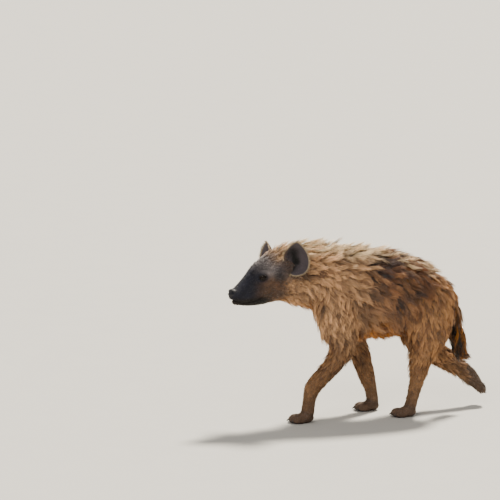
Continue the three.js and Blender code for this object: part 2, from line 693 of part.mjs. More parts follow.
const torsoStyle = (root) => {
  const low = clamp((610 - root.z) / 240, 0, 1);
  const rear = clamp((root.x - 60) / 200, 0, 1);
  const withers = clamp((-40 - root.x) / 90, 0, 1);
  return {
    lie: backAndDown(0.1 + 0.85 * low + 0.45 * rear),
    length: COAT.length * (1 - 0.25 * rear),
    width: COAT.width,
    rise: THREE.MathUtils.lerp(12 + (16 + 18 * withers) * crest(root, 550), 10, rear),
  };
};
const fringeStyle = () => ({ lie: backAndDown(0.35), length: 62, width: 26, rise: 10 });
const neckStyle = (root) => ({
  lie: backAndDown(0.15 + 0.8 * clamp((600 - root.z) / 160, 0, 1)),
  length: COAT.length * (0.8 + 0.15 * crest(root, 560)),
  width: COAT.width,
  rise: 10 + 36 * crest(root, 574),
});
const limbStyle = (root) => ({
  lie: backAndDown(0.95 + 0.25 * clamp((450 - root.z) / 150, 0, 1)),
  length: 62,
  width: 24,
  rise: 9 + clamp((root.z - 330) / 40, 0, 4),
});
const tailStyle = (root) => ({ lie: vec(0.25, 0, -1).normalize(), length: 58, width: 15, rise: 7 });

const coats = {
  torso: [
    ...locksOver(torso, {
      from: -225, to: 285, rows: 9, around: 11, arc: [-0.75, Math.PI + 0.75], seed: 11, style: torsoStyle,
    }),
    ...locksOver(torso, {
      from: -150, to: 170, rows: 6, around: 3, arc: [4.15, 5.25], seed: 23, style: fringeStyle,
    }),
  ],
  neck: locksOver(neck, {
    from: -350, to: -195, rows: 5, around: 9, arc: [-1.5, Math.PI * 1.5 + 0.1], seed: 37, style: neckStyle,
  }),
  tail_root: locksOver(tailPath, {
    from: 1.2, to: 3.4, rows: 2, around: 3, arc: [0, Math.PI * 2], seed: 41, style: tailStyle,
  }),
  tail_tuft: locksOver(tailPath, {
    from: 4.3, to: 6.2, rows: 2, around: 5, arc: [0, Math.PI * 2], seed: 43, style: tailStyle,
  }),
};
for (const [word, middle] of Object.entries(SIDES)) {
  const wide = [middle - 1.25, middle + 1.25];
  coats[`fore_${word}_upper`] = locksOver(legs[`fore_${word}`],
    { from: 0.7, to: 3.1, rows: 4, around: 3, arc: wide, seed: 53 + middle, style: limbStyle });
  coats[`hind_${word}_thigh`] = locksOver(legs[`hind_${word}`],
    { from: 0.8, to: 3.3, rows: 4, around: 4, arc: wide, seed: 67 + middle, style: limbStyle });
}
for (const [name, locks] of Object.entries(coats)) {
  const others = [...parts].filter(([other]) => other !== name).map(([, solid]) => solid);
  parts.set(name, withLocks(parts.get(name), locks, others));
}

// Everything in one group, with the origin at the middle of the footprint on the floor
const colours = (name) => {
  if (name.startsWith("ear")) return "ear";
  if (name.startsWith("eye")) return "eye";
  if (name.startsWith("tail")) return "tail";
  if (/forearm|paw|shank|foot/.test(name)) return "leg";
  return { head: "face", nose: "nose", neck: "mane" }[name] ?? "coat";
};

const hyena = new THREE.Group();
for (const [name, solid] of parts) {
  const mesh = new THREE.Mesh(
    geometryOf(solid),
    new THREE.MeshStandardMaterial({ ...finishes[colours(name)], metalness: 0, flatShading: true }),
  );
  mesh.name = name;
  hyena.add(mesh);
}
const bounds = new THREE.Box3().setFromObject(hyena);
const middle = bounds.getCenter(vec(0, 0, 0));
hyena.position.set(-middle.x, -middle.y, -bounds.min.z);

export default hyena;
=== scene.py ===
"""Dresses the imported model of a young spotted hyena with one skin, its coat, eyes, nose, ears and claws.

Sizes are millimetres in the animal's own plan frame (walking towards -X, left side towards -Y, Z up
from the floor) until a mesh is made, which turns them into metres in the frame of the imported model.
"""

from __future__ import annotations

import logging
import math
from dataclasses import dataclass, field
from enum import Enum
from typing import Any, Callable, Sequence

import bmesh
import bpy
import numpy as np
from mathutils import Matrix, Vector
from mathutils.bvhtree import BVHTree
from mathutils.kdtree import KDTree

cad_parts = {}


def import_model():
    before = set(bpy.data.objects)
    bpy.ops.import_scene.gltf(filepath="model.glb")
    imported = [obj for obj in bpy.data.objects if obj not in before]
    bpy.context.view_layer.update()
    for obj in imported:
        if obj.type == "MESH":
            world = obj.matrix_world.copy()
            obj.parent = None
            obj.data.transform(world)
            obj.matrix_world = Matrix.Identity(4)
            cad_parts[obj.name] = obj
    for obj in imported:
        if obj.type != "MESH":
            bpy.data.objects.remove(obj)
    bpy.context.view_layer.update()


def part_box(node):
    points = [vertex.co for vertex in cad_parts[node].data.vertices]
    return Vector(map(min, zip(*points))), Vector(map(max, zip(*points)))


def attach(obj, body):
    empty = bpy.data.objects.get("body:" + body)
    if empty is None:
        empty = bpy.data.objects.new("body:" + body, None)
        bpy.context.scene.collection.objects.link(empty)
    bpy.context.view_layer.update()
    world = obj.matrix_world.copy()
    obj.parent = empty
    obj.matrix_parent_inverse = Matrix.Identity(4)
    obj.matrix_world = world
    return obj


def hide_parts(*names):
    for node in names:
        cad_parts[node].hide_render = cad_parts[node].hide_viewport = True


log = logging.getLogger("hyena")
Array = np.ndarray
Colour = tuple[float, float, float]
Paint = Callable[[str, Array], None]
BODY = "root"
BAKE_MAP = "OFBake"


class Side(Enum):
    """A side of the animal, as the sign of the head's sideways direction."""

    LEFT = 1
    RIGHT = -1

    @property
    def word(self) -> str:
        """The side as it stands in the names of pieces."""
        return self.name.lower()


class Slot(Enum):
    """The record's material slots."""

    COAT = "coat"
    MANE = "mane"
    FACE = "face"
    EAR = "ear"
    LEG = "leg"
    TAIL = "tail"
    NOSE = "nose"
    EYE = "eye"


def unit(v: Array) -> Array:
    """Vectors scaled to length 1."""
    return v / np.maximum(np.linalg.norm(v, axis=-1, keepdims=True), 1e-9)


def smoothstep(low: float, high: float, value: Array) -> Array:
    """A smooth rise from 0 at low to 1 at high."""
    t = np.clip((value - low) / (high - low), 0.0, 1.0)
    return t * t * (3.0 - 2.0 * t)


def mix(a: Any, b: Any, t: Any) -> Any:
    """The value a share t of the way from a to b."""
    return a + (b - a) * t


def curve_through(keys: Array, values: Array, at: Array) -> Array:
    """Smooth values between stations, with the slope at each one taken from its neighbours.

    Args:
        keys: Where the stations lie, rising.
        values: One row of values for each station.
        at: Where values are wanted.

    Returns:
        One row of values for each place in at.
    """
    at = np.clip(np.asarray(at, float), keys[0], keys[-1])
    i = np.clip(np.searchsorted(keys, at, side="right") - 1, 0, len(keys) - 2)
    before, after = np.maximum(i - 1, 0), np.minimum(i + 2, len(keys) - 1)
    span = (keys[i + 1] - keys[i])[:, None]
    t = (at - keys[i])[:, None] / span
    here, there = values[i], values[i + 1]
    slope_here = (there - values[before]) / (keys[i + 1] - keys[before])[:, None] * span
    slope_there = (values[after] - here) / (keys[after] - keys[i])[:, None] * span
    t2, t3 = t * t, t * t * t
    return (
        (2 * t3 - 3 * t2 + 1) * here
        + (t3 - 2 * t2 + t) * slope_here
        + (3 * t2 - 2 * t3) * there
        + (t3 - t2) * slope_there
    )


def squared(angle: Array, power: float) -> tuple[Array, Array]:
    """The two coordinates of a superellipse: power 2 is round, and more is squarer."""
    c, s = np.cos(angle), np.sin(angle)
    return np.sign(c) * np.abs(c) ** (2 / power), np.sign(s) * np.abs(s) ** (2 / power)


def tube(rings: Array) -> tuple[Array, list[tuple[int, ...]]]:
    """Closes a stack of rings into one solid with flat ends.

    Args:
        rings: Points as (ring, side, xyz).

    Returns:
        The vertices and the faces.
    """
    count, sides, _ = rings.shape
    faces: list[tuple[int, ...]] = []
    for r in range(count - 1):
        for k in range(sides):
            a, b = r * sides + k, r * sides + (k + 1) % sides
            faces.append((a, b, b + sides, a + sides))
    faces.append(tuple(reversed(range(sides))))
    faces.append(tuple((count - 1) * sides + k for k in range(sides)))
    return rings.reshape(-1, 3), faces


def ball(middle: Array, radii: Array, axes: Array, around: int = 48, rings: int = 24) -> tuple[Array, Array]:
    """A round solid.

    Args:
        middle: Its middle.
        radii: Its radii along its axes.
        axes: The axes, as rows; the poles are on the last.
        around: Points round it.
        rings: Rings from pole to pole.

    Returns:
        The points and the triangles.
    """
    polar = (np.arange(1, rings) / rings * np.pi)[:, None]
    angle = (np.arange(around) / around * 2 * np.pi)[None]
    flat = np.sin(polar)
    parts = [flat * np.cos(angle), flat * np.sin(angle), np.cos(polar) * np.ones_like(angle)]
    local = np.stack(parts, -1).reshape(-1, 3)
    local = np.concatenate([local, [[0, 0, 1], [0, 0, -1]]])
    faces = []
    top, bottom = len(local) - 2, len(local) - 1
    for k in range(around):
        n = (k + 1) % around
        faces += [(top, k, n), (bottom, (rings - 2) * around + n, (rings - 2) * around + k)]
        for r in range(rings - 2):
            a, b = r * around + k, r * around + n
            faces += [(a, a + around, b + around), (a, b + around, b)]
    return middle + (local * radii) @ axes, np.array(faces)


@dataclass
class PlanFrame:
    """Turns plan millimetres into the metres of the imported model."""

    shift: Array

    def metres(self, points: Array) -> Array:
        """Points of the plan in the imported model's frame."""
        return np.asarray(points, float) / 1000.0 + self.shift


@dataclass
class HeadFrame:
    """The head's own directions: back from the nose tip, sideways to the left, and up."""

    yaw: float = math.radians(17.5)
    nose: tuple[float, float] = (-575.0, -87.0)

    @property
    def back(self) -> Array:
        """The way from the nose to the nape."""
        return np.array([math.cos(self.yaw), math.sin(self.yaw), 0.0])

    @property
    def left(self) -> Array:
        """The way to the animal's left."""
        return np.array([math.sin(self.yaw), -math.cos(self.yaw), 0.0])

    def place(self, back: Any, side: Any, height: Any) -> Array:
        """Plan points from distances back from the nose, out to the left, and heights.

        Args:
            back: Distances back from the nose tip.
            side: Distances to the left of the middle.
            height: Heights over the floor.

        Returns:
            The points.
        """
        back, side, height = np.broadcast_arrays(*(np.asarray(v, float) for v in (back, side, height)))
        flat = np.stack([np.full(back.shape, self.nose[0]), np.full(back.shape, self.nose[1]), height], -1)
        return flat + back[..., None] * self.back + side[..., None] * self.left

    def read(self, points: Array) -> tuple[Array, Array, Array]:
        """Plan points as distances back from the nose, to the left, and heights.

        Args:
            points: The points.

        Returns:
            The three distances of each.
        """
        flat = points - np.array([self.nose[0], self.nose[1], 0.0])
        return flat @ self.back, flat @ self.left, points[..., 2]


HEAD = HeadFrame()


@dataclass
class Trunk:
    """A length of the body: upright rings along X.

    Each station is x, top, bottom, half width, middle height and y of the middle.
    """

    stations: Array
    start: float
    end: float
    power: float
    slim: float = 0.0

    def size(self, x: Array) -> Array:
        """The trunk's sizes at places along it.

        Args:
            x: The places.

        Returns:
            Top, bottom, half width, middle and y of each.
        """
        sizes = curve_through(self.stations[:, 0], self.stations[:, 1:], np.atleast_1d(x))
        sizes[:, 0] -= self.slim
        sizes[:, 1] += self.slim
        sizes[:, 2] -= self.slim
        return sizes

    def rings(self, step: float = 8.0, sides: int = 64) -> Array:
        """The rings as points.

        Args:
            step: The distance between rings.
            sides: The points on each.

        Returns:
            The points as (ring, side, xyz).
        """
        xs = np.linspace(self.start, self.end, max(4, int((self.end - self.start) / step)))
        across, up = squared(np.arange(sides) / sides * 2 * np.pi, self.power)
        top, bottom, half, middle, y = self.size(xs).T[:, :, None]
        rise = np.where(up > 0, top - middle, middle - bottom)
        return np.stack([np.broadcast_to(xs[:, None], rise.shape), y + across * half, middle + up * rise], -1)

    def read(self, p: Array) -> tuple[Array, Array, Array]:
        """Where points lie against this length.

        Args:
            p: Plan points.

        Returns:
            The share along it, the angle from its top, and the depth: 1 on the surface, more outside.
        """
        top, bottom, half, middle, y = self.size(p[:, 0]).T
        rise = np.where(p[:, 2] > middle, top - middle, middle - bottom)
        a, b = (p[:, 1] - y) / half, (p[:, 2] - middle) / rise
        depth = (np.abs(a) ** self.power + np.abs(b) ** self.power) ** (1 / self.power)
        past = np.maximum(self.start - p[:, 0], p[:, 0] - self.end)
        share = (p[:, 0] - self.start) / (self.end - self.start)
        return share, np.arctan2(a, b), depth + np.maximum(past, 0) / half


@dataclass
class Limb:
    """A leg or tail: rings square to a path.

    Each station is x, y, z, half depth fore and aft, and half width. The outer side is -1 towards -Y.
    """

    stations: Array
    power: float = 2.1
    slim: float = 0.0
    outer: float = 1.0
    samples: int = 120
    path: Array = field(init=False)
    tangent: Array = field(init=False)

    def __post_init__(self) -> None:
        """Works out the path once."""
        keys = np.arange(len(self.stations), dtype=float)
        at = np.linspace(0, len(keys) - 1, self.samples)
        self.path = curve_through(keys, self.stations, at)
        self.path[:, 3:] = np.maximum(self.path[:, 3:] - self.slim, 2.0)
        self.tangent = unit(np.gradient(self.path[:, :3], axis=0))

    def axes(self) -> tuple[Array, Array]:
        """The sideways and forward directions along the path."""
        y = np.array([0.0, 1.0, 0.0])
        side = unit(y - self.tangent * (self.tangent @ y)[:, None])
        return side, np.cross(side, self.tangent)

    def rings(self, sides: int = 40) -> Array:
        """The rings as points.

        Args:
            sides: The points on each.

        Returns:
            The points as (ring, side, xyz).
        """
        side, fore = self.axes()
        a, b = squared(np.arange(sides) / sides * 2 * np.pi, self.power)
        path = self.path[:, None, :]
        return (
            path[..., :3]
            + (a[None, :] * path[..., 3])[..., None] * fore[:, None]
            + (b[None, :] * path[..., 4])[..., None] * side[:, None]
        )

    def read(self, p: Array) -> tuple[Array, Array, Array]:
        """Where points lie against this limb.

        Args:
            p: Plan points.

        Returns:
            The share along it, the angle from its outer side, and the depth: 1 on the surface.
        """
        nearest = np.zeros(len(p), int)
        least = np.full(len(p), np.inf)
        for i in range(self.samples):
            gap = ((p - self.path[i, :3]) ** 2).sum(1)
            closer = gap < least
            nearest[closer], least[closer] = i, gap[closer]
        side, fore = self.axes()
        off = p - self.path[nearest, :3]
        a = (off * fore[nearest]).sum(1) / self.path[nearest, 3]
        b = (off * side[nearest]).sum(1) / self.path[nearest, 4]
        along = (off * self.tangent[nearest]).sum(1)
        depth = np.sqrt(a * a + b * b) + np.abs(along) / 40.0
        return nearest / (self.samples - 1), np.arctan2(a, b * self.outer), depth


@dataclass
class HeadForm:
    """The head from nose to nape, in the head's own directions.

    Each station is distance back, top, bottom, half width and middle height.
    """

    stations: Array = field(
        default_factory=lambda: np.array(
            [
                (7, 499, 468, 19, 484),
                (16, 504, 460, 26, 480),
                (28, 510, 450, 31, 476),
                (42, 521, 443, 34, 475),
                (60, 537, 439, 37, 477),
                (78, 553, 438, 42, 482),
                (98, 571, 438, 49, 492),
                (120, 588, 439, 59, 506),
                (145, 602, 443, 70, 516),
                (175, 613, 449, 76, 522),
                (205, 620, 453, 77, 530),
                (240, 624, 450, 75, 536),
            ],
            float,
        )
    )
    power: float = 2.25
    swellings: Sequence[tuple[float, float, float, float, float]] = (
        (104, 560, 22, 12, 5),  # brow
        (112, 540, 22, 13, -4),  # eye socket
        (82, 505, 24, 22, -3.5),  # hollow before the cheek
        (165, 500, 42, 36, 6),  # cheek
        (48, 466, 32, 11, 4.5),  # upper lip
        (60, 447, 34, 8, 2),  # lower lip
    )
    slim: float = 1.2
    end: float = 240.0

    def size(self, back: Array) -> Array:
        """Top, bottom, half width and middle at each distance back."""
        return curve_through(self.stations[:, 0], self.stations[:, 1:], np.atleast_1d(back))

    def swelling(self, back: Array, height: Array) -> Array:
        """How far the face's swellings and hollows stand out.

        Args:
            back: Distances back from the nose.
            height: Heights.

        Returns:
            The swelling at each place.
        """
        out = np.zeros(np.broadcast(back, height).shape)
        for at, level, long, tall, amount in self.swellings:
            out = out + amount * np.exp(-(((back - at) / long) ** 2) - ((height - level) / tall) ** 2)
        return out

    def rings(self, step: float = 4.0, sides: int = 72) -> Array:
        """The rings as points.

        Args:
            step: The distance between rings.
            sides: The points on each.

        Returns:
            The points as (ring, side, xyz).
        """
        back = np.linspace(7, self.end, int((self.end - 7) / step))[:, None]
        across, up = squared((np.arange(sides) + 0.5) / sides * 2 * np.pi, self.power)
        top, bottom, half, middle = self.size(back[:, 0]).T[:, :, None]
        height = middle + up * (np.where(up > 0, top - middle, middle - bottom) - self.slim)
        out = self.swelling(back, height)
        return HEAD.place(back + 0 * height, across * (half - self.slim + out), height)

    def read(self, p: Array) -> tuple[Array, Array, Array]:
        """Where points lie against the head.

        Args:
            p: Plan points.

        Returns:
            The share from nose to nape, the angle from its top, and the depth: 1 on the surface.
        """
        back, side, height = HEAD.read(p)
        top, bottom, half, middle = self.size(back).T
        rise = np.where(height > middle, top - middle, middle - bottom) - self.slim
        a = side / (half - self.slim + self.swelling(back, height))
        b = (height - middle) / rise
        depth = (np.abs(a) ** self.power + np.abs(b) ** self.power) ** (1 / self.power)
        past = np.maximum(-back, back - 225)
        return np.clip(back / self.end, 0, 1), np.arctan2(a, b), depth + np.maximum(past, 0) / 40


@dataclass
class Paw:
    """A palm and four toes."""

    palm: tuple[float, float, float]
    down: float
    lifted: bool = False
    spread: float = 17.6

    @property
    def ahead(self) -> Array:
        """The way that the toes point."""
        return np.array([-math.cos(self.down), 0.0, -math.sin(self.down)])

    @property
    def under(self) -> Array:
        """The way that the sole faces."""
        return np.array([math.sin(self.down), 0.0, -math.cos(self.down)])

    def toe(self, place: float) -> Array:
        """The middle of a toe, from -1.5 on one side to 1.5 on the other."""
        reach = 40 - 7 * abs(place)
        beside = np.array([0, place * self.spread, 0])
        return np.array(self.palm) + self.ahead * reach + self.under * 4 + beside

    def lumps(self) -> list[tuple[Array, Array]]:
        """The middle and the radii of the palm and of each toe."""
        palm = [(np.array(self.palm, float), np.array([33.0, 29.0, 21.0]))]
        toes = [(self.toe(place), np.array([24.0, 9.2, 15.5])) for place in (-1.5, -0.5, 0.5, 1.5)]
        return palm + toes

    def blocks(self) -> list[tuple[Array, list[tuple[int, ...]]]]:
        """The palm and toes as closed meshes.

        Returns:
            The points and the faces of each.
        """
        made = []
        axes = np.stack([self.ahead, np.array([0.0, 1.0, 0.0]), self.under])
        for middle, radii in self.lumps():
            points, faces = ball(middle, radii, axes, 24, 14)
            if not self.lifted:
                points[:, 2] = np.maximum(points[:, 2], 1.0)
            made.append((points, [tuple(face) for face in faces.tolist()]))
        return made

    def read(self, p: Array) -> tuple[Array, Array, Array]:
        """Where points lie against this paw.

        Args:
            p: Plan points.

        Returns:
            The share from heel to toes, the angle from its top, and a depth that is low on the paw.
        """
        off = p - np.array(self.palm)
        along, down = off @ self.ahead, off @ self.under
        near = (np.linalg.norm(off, axis=1) < 78) & (down > -26 - 0.25 * along)
        return np.clip((along + 36) / 104, 0, 1), np.arctan2(off[:, 1], -down), np.where(near, 0.5, 9.0)


@dataclass
class Anatomy:
    """Every form of the body under its coat."""

    torso: Trunk = field(
        default_factory=lambda: Trunk(
            np.array(
                [
                    (-235, 604, 428, 62, 520, 0),
                    (-195, 612, 372, 82, 505, 0),
                    (-150, 618, 322, 96, 490, 0),
                    (-100, 618, 300, 104, 478, 0),
                    (-40, 612, 298, 108, 466, 0),
                    (30, 602, 302, 106, 460, 0),
                    (95, 592, 306, 103, 460, 0),
                    (150, 573, 320, 97, 456, 0),
                    (200, 545, 350, 89, 450, 0),
                    (240, 512, 376, 76, 444, 0),
                    (270, 478, 398, 56, 436, 0),
                    (290, 444, 418, 24, 430, 0),
                ],
                float,
            ),
            -228,
            290,
            2.15,
            3.0,
        )
    )
    neck: Trunk = field(
        default_factory=lambda: Trunk(
            np.array(
                [
                    (-372, 626, 456, 62, 545, -22),
                    (-330, 634, 440, 74, 540, -12),
                    (-285, 636, 428, 80, 535, -6),
                    (-240, 630, 415, 84, 525, -2),
                    (-190, 622, 392, 88, 510, 0),
                    (-150, 614, 360, 88, 500, 0),
                ],
                float,
            ),
            -366,
            -150,
            2.1,
            4.0,
        )
    )
    head: HeadForm = field(default_factory=HeadForm)
    legs: dict[str, Limb] = field(
        default_factory=lambda: {
            name: Limb(np.array(stations, float), slim=1.5, outer=-1.0 if "left" in name else 1.0)
            for name, stations in {
                "fore_left": [
                    (-142, -58, 500, 50, 30),
                    (-160, -68, 430, 76, 42),
                    (-158, -76, 350, 64, 43),
                    (-143, -80, 285, 47, 35),
                    (-165, -82, 228, 36, 29),
                    (-212, -83, 176, 31, 26),
                    (-256, -84, 130, 30, 27),
                    (-271, -84, 85, 24, 24),
                    (-277, -84, 42, 24, 28),
                    (-280, -84, 18, 21, 26),
                ],
                "fore_right": [
                    (-130, 58, 500, 50, 30),
                    (-138, 68, 430, 74, 42),
                    (-112, 76, 350, 62, 43),
                    (-66, 80, 280, 47, 35),
                    (-30, 80, 228, 38, 29),
                    (-12, 80, 178, 33, 26),
                    (3, 80, 125, 30, 27),
                    (17, 80, 82, 23, 24),
                    (24, 80, 42, 22, 28),
                    (24, 80, 18, 20, 26),
                ],
                "hind_left": [
                    (190, -50, 500, 46, 30),
                    (207, -60, 430, 77, 42),
                    (202, -66, 356, 84, 44),
                    (189, -70, 297, 69, 39),
                    (172, -72, 245, 52, 32),
                    (160, -72, 196, 38, 26),
                    (152, -72, 158, 31, 23),
                    (142, -72, 115, 25, 21),
                    (130, -72, 68, 22, 22),
                    (122, -72, 38, 22, 26),
                    (118, -72, 18, 19, 24),
                ],
                "hind_right": [
                    (190, 50, 500, 46, 30),
                    (206, 60, 430, 77, 42),
                    (196, 66, 360, 78, 43),
                    (188, 68, 300, 62, 37),
                    (220, 68, 245, 46, 31),
                    (268, 68, 208, 40, 27),
                    (308, 68, 182, 36, 24),
                    (350, 68, 152, 29, 22),
                    (388, 68, 128, 28, 25),
                    (410, 68, 106, 26, 27),
                    (420, 68, 88, 22, 25),
                ],
            }.items()
        }
    )
    tail: Limb = field(
        default_factory=lambda: Limb(
            np.array(
                [
                    (262, 0, 480, 19, 20),
                    (287, 0, 460, 15, 16),
                    (306, 0, 420, 12, 14),
                    (314, 0, 376, 11, 12),
                    (319, 0, 335, 11, 11),
                    (327, 0, 288, 11, 11),
                    (338, 0, 240, 8, 8),
                    (347, 0, 208, 3, 3),
                ],
                float,
            ),
            slim=1.0,
        )
    )
    paws: dict[str, Paw] = field(
        default_factory=lambda: {
            "fore_left": Paw((-288, -84, 18), 0.02),
            "fore_right": Paw((16, 80, 18), 0.02),
            "hind_left": Paw((110, -72, 18), 0.02),
            "hind_right": Paw((420, 68, 96), 2.15, lifted=True),
        }
    )

    @property
    def lofts(self) -> dict[str, Any]:
        """Every form made of rings, by name."""
        return {"torso": self.torso, "neck": self.neck, "head": self.head, "tail": self.tail, **self.legs}

    @property
    def forms(self) -> dict[str, Any]:
        """Every form by name, with a paw's name told from its leg's."""
        return {**self.lofts, **{f"{name}_paw": paw for name, paw in self.paws.items()}}

    def blocks(self) -> list[tuple[Array, list[tuple[int, ...]]]]:
        """Every form as a closed mesh, overlapping where the body is whole.

        Returns:
            The points and the faces of each.
        """
        made = [tube(form.rings()) for form in self.lofts.values()]
        axes = np.stack([HEAD.back, HEAD.left, np.array([0.0, 0.0, 1.0])])
        tips = ((27, 488, (22, 25, 18)), (22, 470, (15, 18, 11)), (36, 454, (22, 20, 10)))
        for back, height, radii in tips:
            points, faces = ball(HEAD.place(back, 0, height), np.array(radii), axes, 40, 24)
            made.append((points, [tuple(face) for face in faces.tolist()]))
        for paw in self.paws.values():
            made.extend(paw.blocks())
        return made

    def read(self, points: Array) -> tuple[Array, Array, Array]:
        """Where points lie against every form.

        Args:
            points: Plan points.

        Returns:
            The share along, the angle round and the depth, each with one row for each form.
        """
        found = [form.read(points) for form in self.forms.values()]
        share, angle, depth = (np.stack([one[i] for one in found]) for i in range(3))
        return share, angle, depth


@dataclass
class Ripple:
    """A smooth random field, made of waves in random directions."""

    size: float
    seed: int
    waves: int = 14

    def __call__(self, points: Array) -> Array:
        """Reads the field.

        Args:
            points: The places.

        Returns:
            Its value at each, mostly between -1 and 1.
        """
        rng = np.random.default_rng(self.seed)
        out = np.zeros(len(points))
        for _ in range(self.waves):
            way = unit(rng.normal(size=3)) * (2 * np.pi / self.size) * rng.uniform(0.6, 1.5)
            out += np.sin(points @ way + rng.uniform(0, 2 * np.pi))
        return out / math.sqrt(self.waves / 2)


@dataclass
class EyeSeat:
    """Where an eye sits, and the almond between its lids."""

    side: Side
    back: float = 117.0
    out: float = 43.0
    height: float = 543.0
    radius: float = 12.5
    turn: float = 0.92
    half: float = 12.0

    @property
    def middle(self) -> Array:
        """The middle of the eyeball in the plan."""
        return HEAD.place(self.back, self.side.value * self.out, self.height)

    @property
    def gaze(self) -> Array:
        """The way that the eye looks."""
        return -HEAD.back * math.cos(self.turn) + HEAD.left * self.side.value * math.sin(self.turn)

    @property
    def across(self) -> Array:
        """The way from the inner corner to the outer one."""
        return HEAD.back * math.sin(self.turn) + HEAD.left * self.side.value * math.cos(self.turn)

    def read(self, points: Array) -> tuple[Array, Array, Array]:
        """Points as distances across, up and out along the gaze from the eye's middle."""
        off = points - self.middle
        return off @ self.across, off[..., 2], off @ self.gaze

    def lids(self, u: Array) -> tuple[Array, Array]:
        """The heights of the lower and the upper lid's edge at distances across."""
        u = np.clip(u, -self.half, self.half)
        t = (-22 + np.sqrt(484 + 8 * (u + 12))) / 4
        s = (28 - np.sqrt(784 - 16 * (u + 12))) / 8
        return -2 - 22 * s + 27 * s * s, -2 + 30 * t - 25 * t * t

    def inside(self, u: Array, v: Array) -> Array:
        """About how far a place is inside the opening: less than 0 outside it."""
        low, high = self.lids(u)
        past = np.maximum(np.abs(u) - self.half + 1.2, 0)
        return np.minimum(high - v, v - low) * 0.85 - past


@dataclass
class Ear:
    """An ear: a round dish that is deepest near its inner edge."""

    side: Side
    turn: float
    back: float
    out: float
    height: float
    wall: float = 3.0
    cup: float = 27.0
    deepest: tuple[float, float] = (33.0, 48.0)
    edge: Sequence[tuple[float, float]] = (
        (58, 1),
        (83, 12),
        (97, 35),
        (97, 63),
        (88, 87),
        (71, 107),
        (48, 124),
        (28, 116),
        (11, 99),
        (-5, 76),
        (-1, 44),
        (11, 18),
        (31, 1),
    )

    @property
    def root(self) -> Array:
        """The middle of the ear's base, in front of the dish."""
        base = HEAD.place(self.back, self.side.value * self.out, self.height)
        return base + 42 * self.outward + np.array([0, 0, 14.0]) + 6 * self.open

    @property
    def open(self) -> Array:
        """The way that the dish opens."""
        return -HEAD.back * math.cos(self.turn) + HEAD.left * self.side.value * math.sin(self.turn)

    @property
    def outward(self) -> Array:
        """The way from the inner edge to the outer one."""
        return HEAD.back * math.sin(self.turn) + HEAD.left * self.side.value * math.cos(self.turn)

    def rim(self, count: int) -> Array:
        """Places round the rim, closed.

        Args:
            count: How many.

        Returns:
            Distances out and up.
        """
        keys = np.array([*self.edge, self.edge[0], self.edge[1], self.edge[2]], float)
        at = 1 + np.arange(count) / count * len(self.edge)
        return curve_through(np.arange(len(keys), dtype=float), keys, at)

    def place(self, share: Any, rim: Array, wall: Any) -> Array:
        """Plan points on the dish.

        Args:
            share: 0 at the deepest place and 1 at the rim.
            rim: The place on the rim that each lies towards.
            wall: The distance behind the front.

        Returns:
            The points.
        """
        r = np.asarray(share, float)[..., None]
        flat = mix(np.array(self.deepest), rim, r)
        depth = -self.cup * (1 - r**2.2) + 9 * r * r * (rim[..., :1] / 97) ** 2 - np.asarray(wall)[..., None]
        base = HEAD.place(self.back, self.side.value * self.out, self.height)
        up = np.array([0.0, 0.0, 1.0]) + 0.06 * HEAD.back
        return base + flat[..., :1] * self.outward + flat[..., 1:] * up + depth * self.open

    def covers(self, points: Array) -> Array:
        """Whether plan points lie in the open dish."""
        off = points - HEAD.place(self.back, self.side.value * self.out, self.height)
        out, up, ahead = off @ self.outward, off[..., 2], off @ self.open
        return (((out - 48) / 44) ** 2 + ((up - 62) / 56) ** 2 < 1) & (ahead > -34) & (ahead < 26)

    def shell(self, count: int = 72, rings: int = 22) -> tuple[Array, Array, Array]:
        """The dish as a closed mesh.

        Args:
            count: Points round it.
            rings: Rings from the middle to the rim, on each face.

        Returns:
            The points, the triangles, and each point's share out, height up, side and angle.
        """
        rim = self.rim(count)
        shares = (np.arange(rings) + 1) / rings
        points, facts = [], []
        for behind in (0.0, 1.0):
            for r in shares:
                thick = self.wall * (1.5 - 0.7 * r)
                wall = behind * thick + (0.5 - behind) * 0.8 * (r > 0.99)
                ridge = 2.2 * np.exp(-(((r - 0.52) / 0.10) ** 2))
                fold = ridge * smoothstep(60, 20, rim[:, 1]) * (1 - behind)
                r_all = np.full(count, r - (0.012 if r > 0.99 else 0.0))
                points.append(self.place(r_all, rim, np.full(count, wall) - fold))
                angle = np.arctan2(rim[:, 1] - self.deepest[1], rim[:, 0] - self.deepest[0])
                facts.append(np.column_stack([r_all, rim[:, 1] / 124, np.full(count, behind), angle]))
        middle = self.place(np.zeros(1), rim[:1], np.zeros(1))
        rear = self.place(np.zeros(1), rim[:1], np.full(1, self.wall * 1.6))
        grid = np.concatenate([*points, middle, rear])
        facts.append(np.array([[0, 0.4, 0.0, 0.0], [0, 0.4, 1.0, 0.0]]))
        layer, faces = rings * count, []
        for k in range(count):
            n = (k + 1) % count
            faces += [(2 * layer, k, n), (2 * layer + 1, layer + n, layer + k)]
            for r in range(rings - 1):
                a, b, c, d = r * count + k, (r + 1) * count + k, (r + 1) * count + n, r * count + n
                faces += [(a, b, c), (a, c, d), (layer + c, layer + b, layer + a)]
                faces.append((layer + d, layer + c, layer + a))
            e = (rings - 1) * count
            faces += [(e + k, layer + e + k, layer + e + n), (e + k, layer + e + n, e + n)]
        return grid, np.array(faces), np.concatenate(facts)


EYES = [EyeSeat(side) for side in Side]
EARS = [Ear(Side.LEFT, 0.64, 197, 57, 546), Ear(Side.RIGHT, 0.3, 208, 58, 526)]


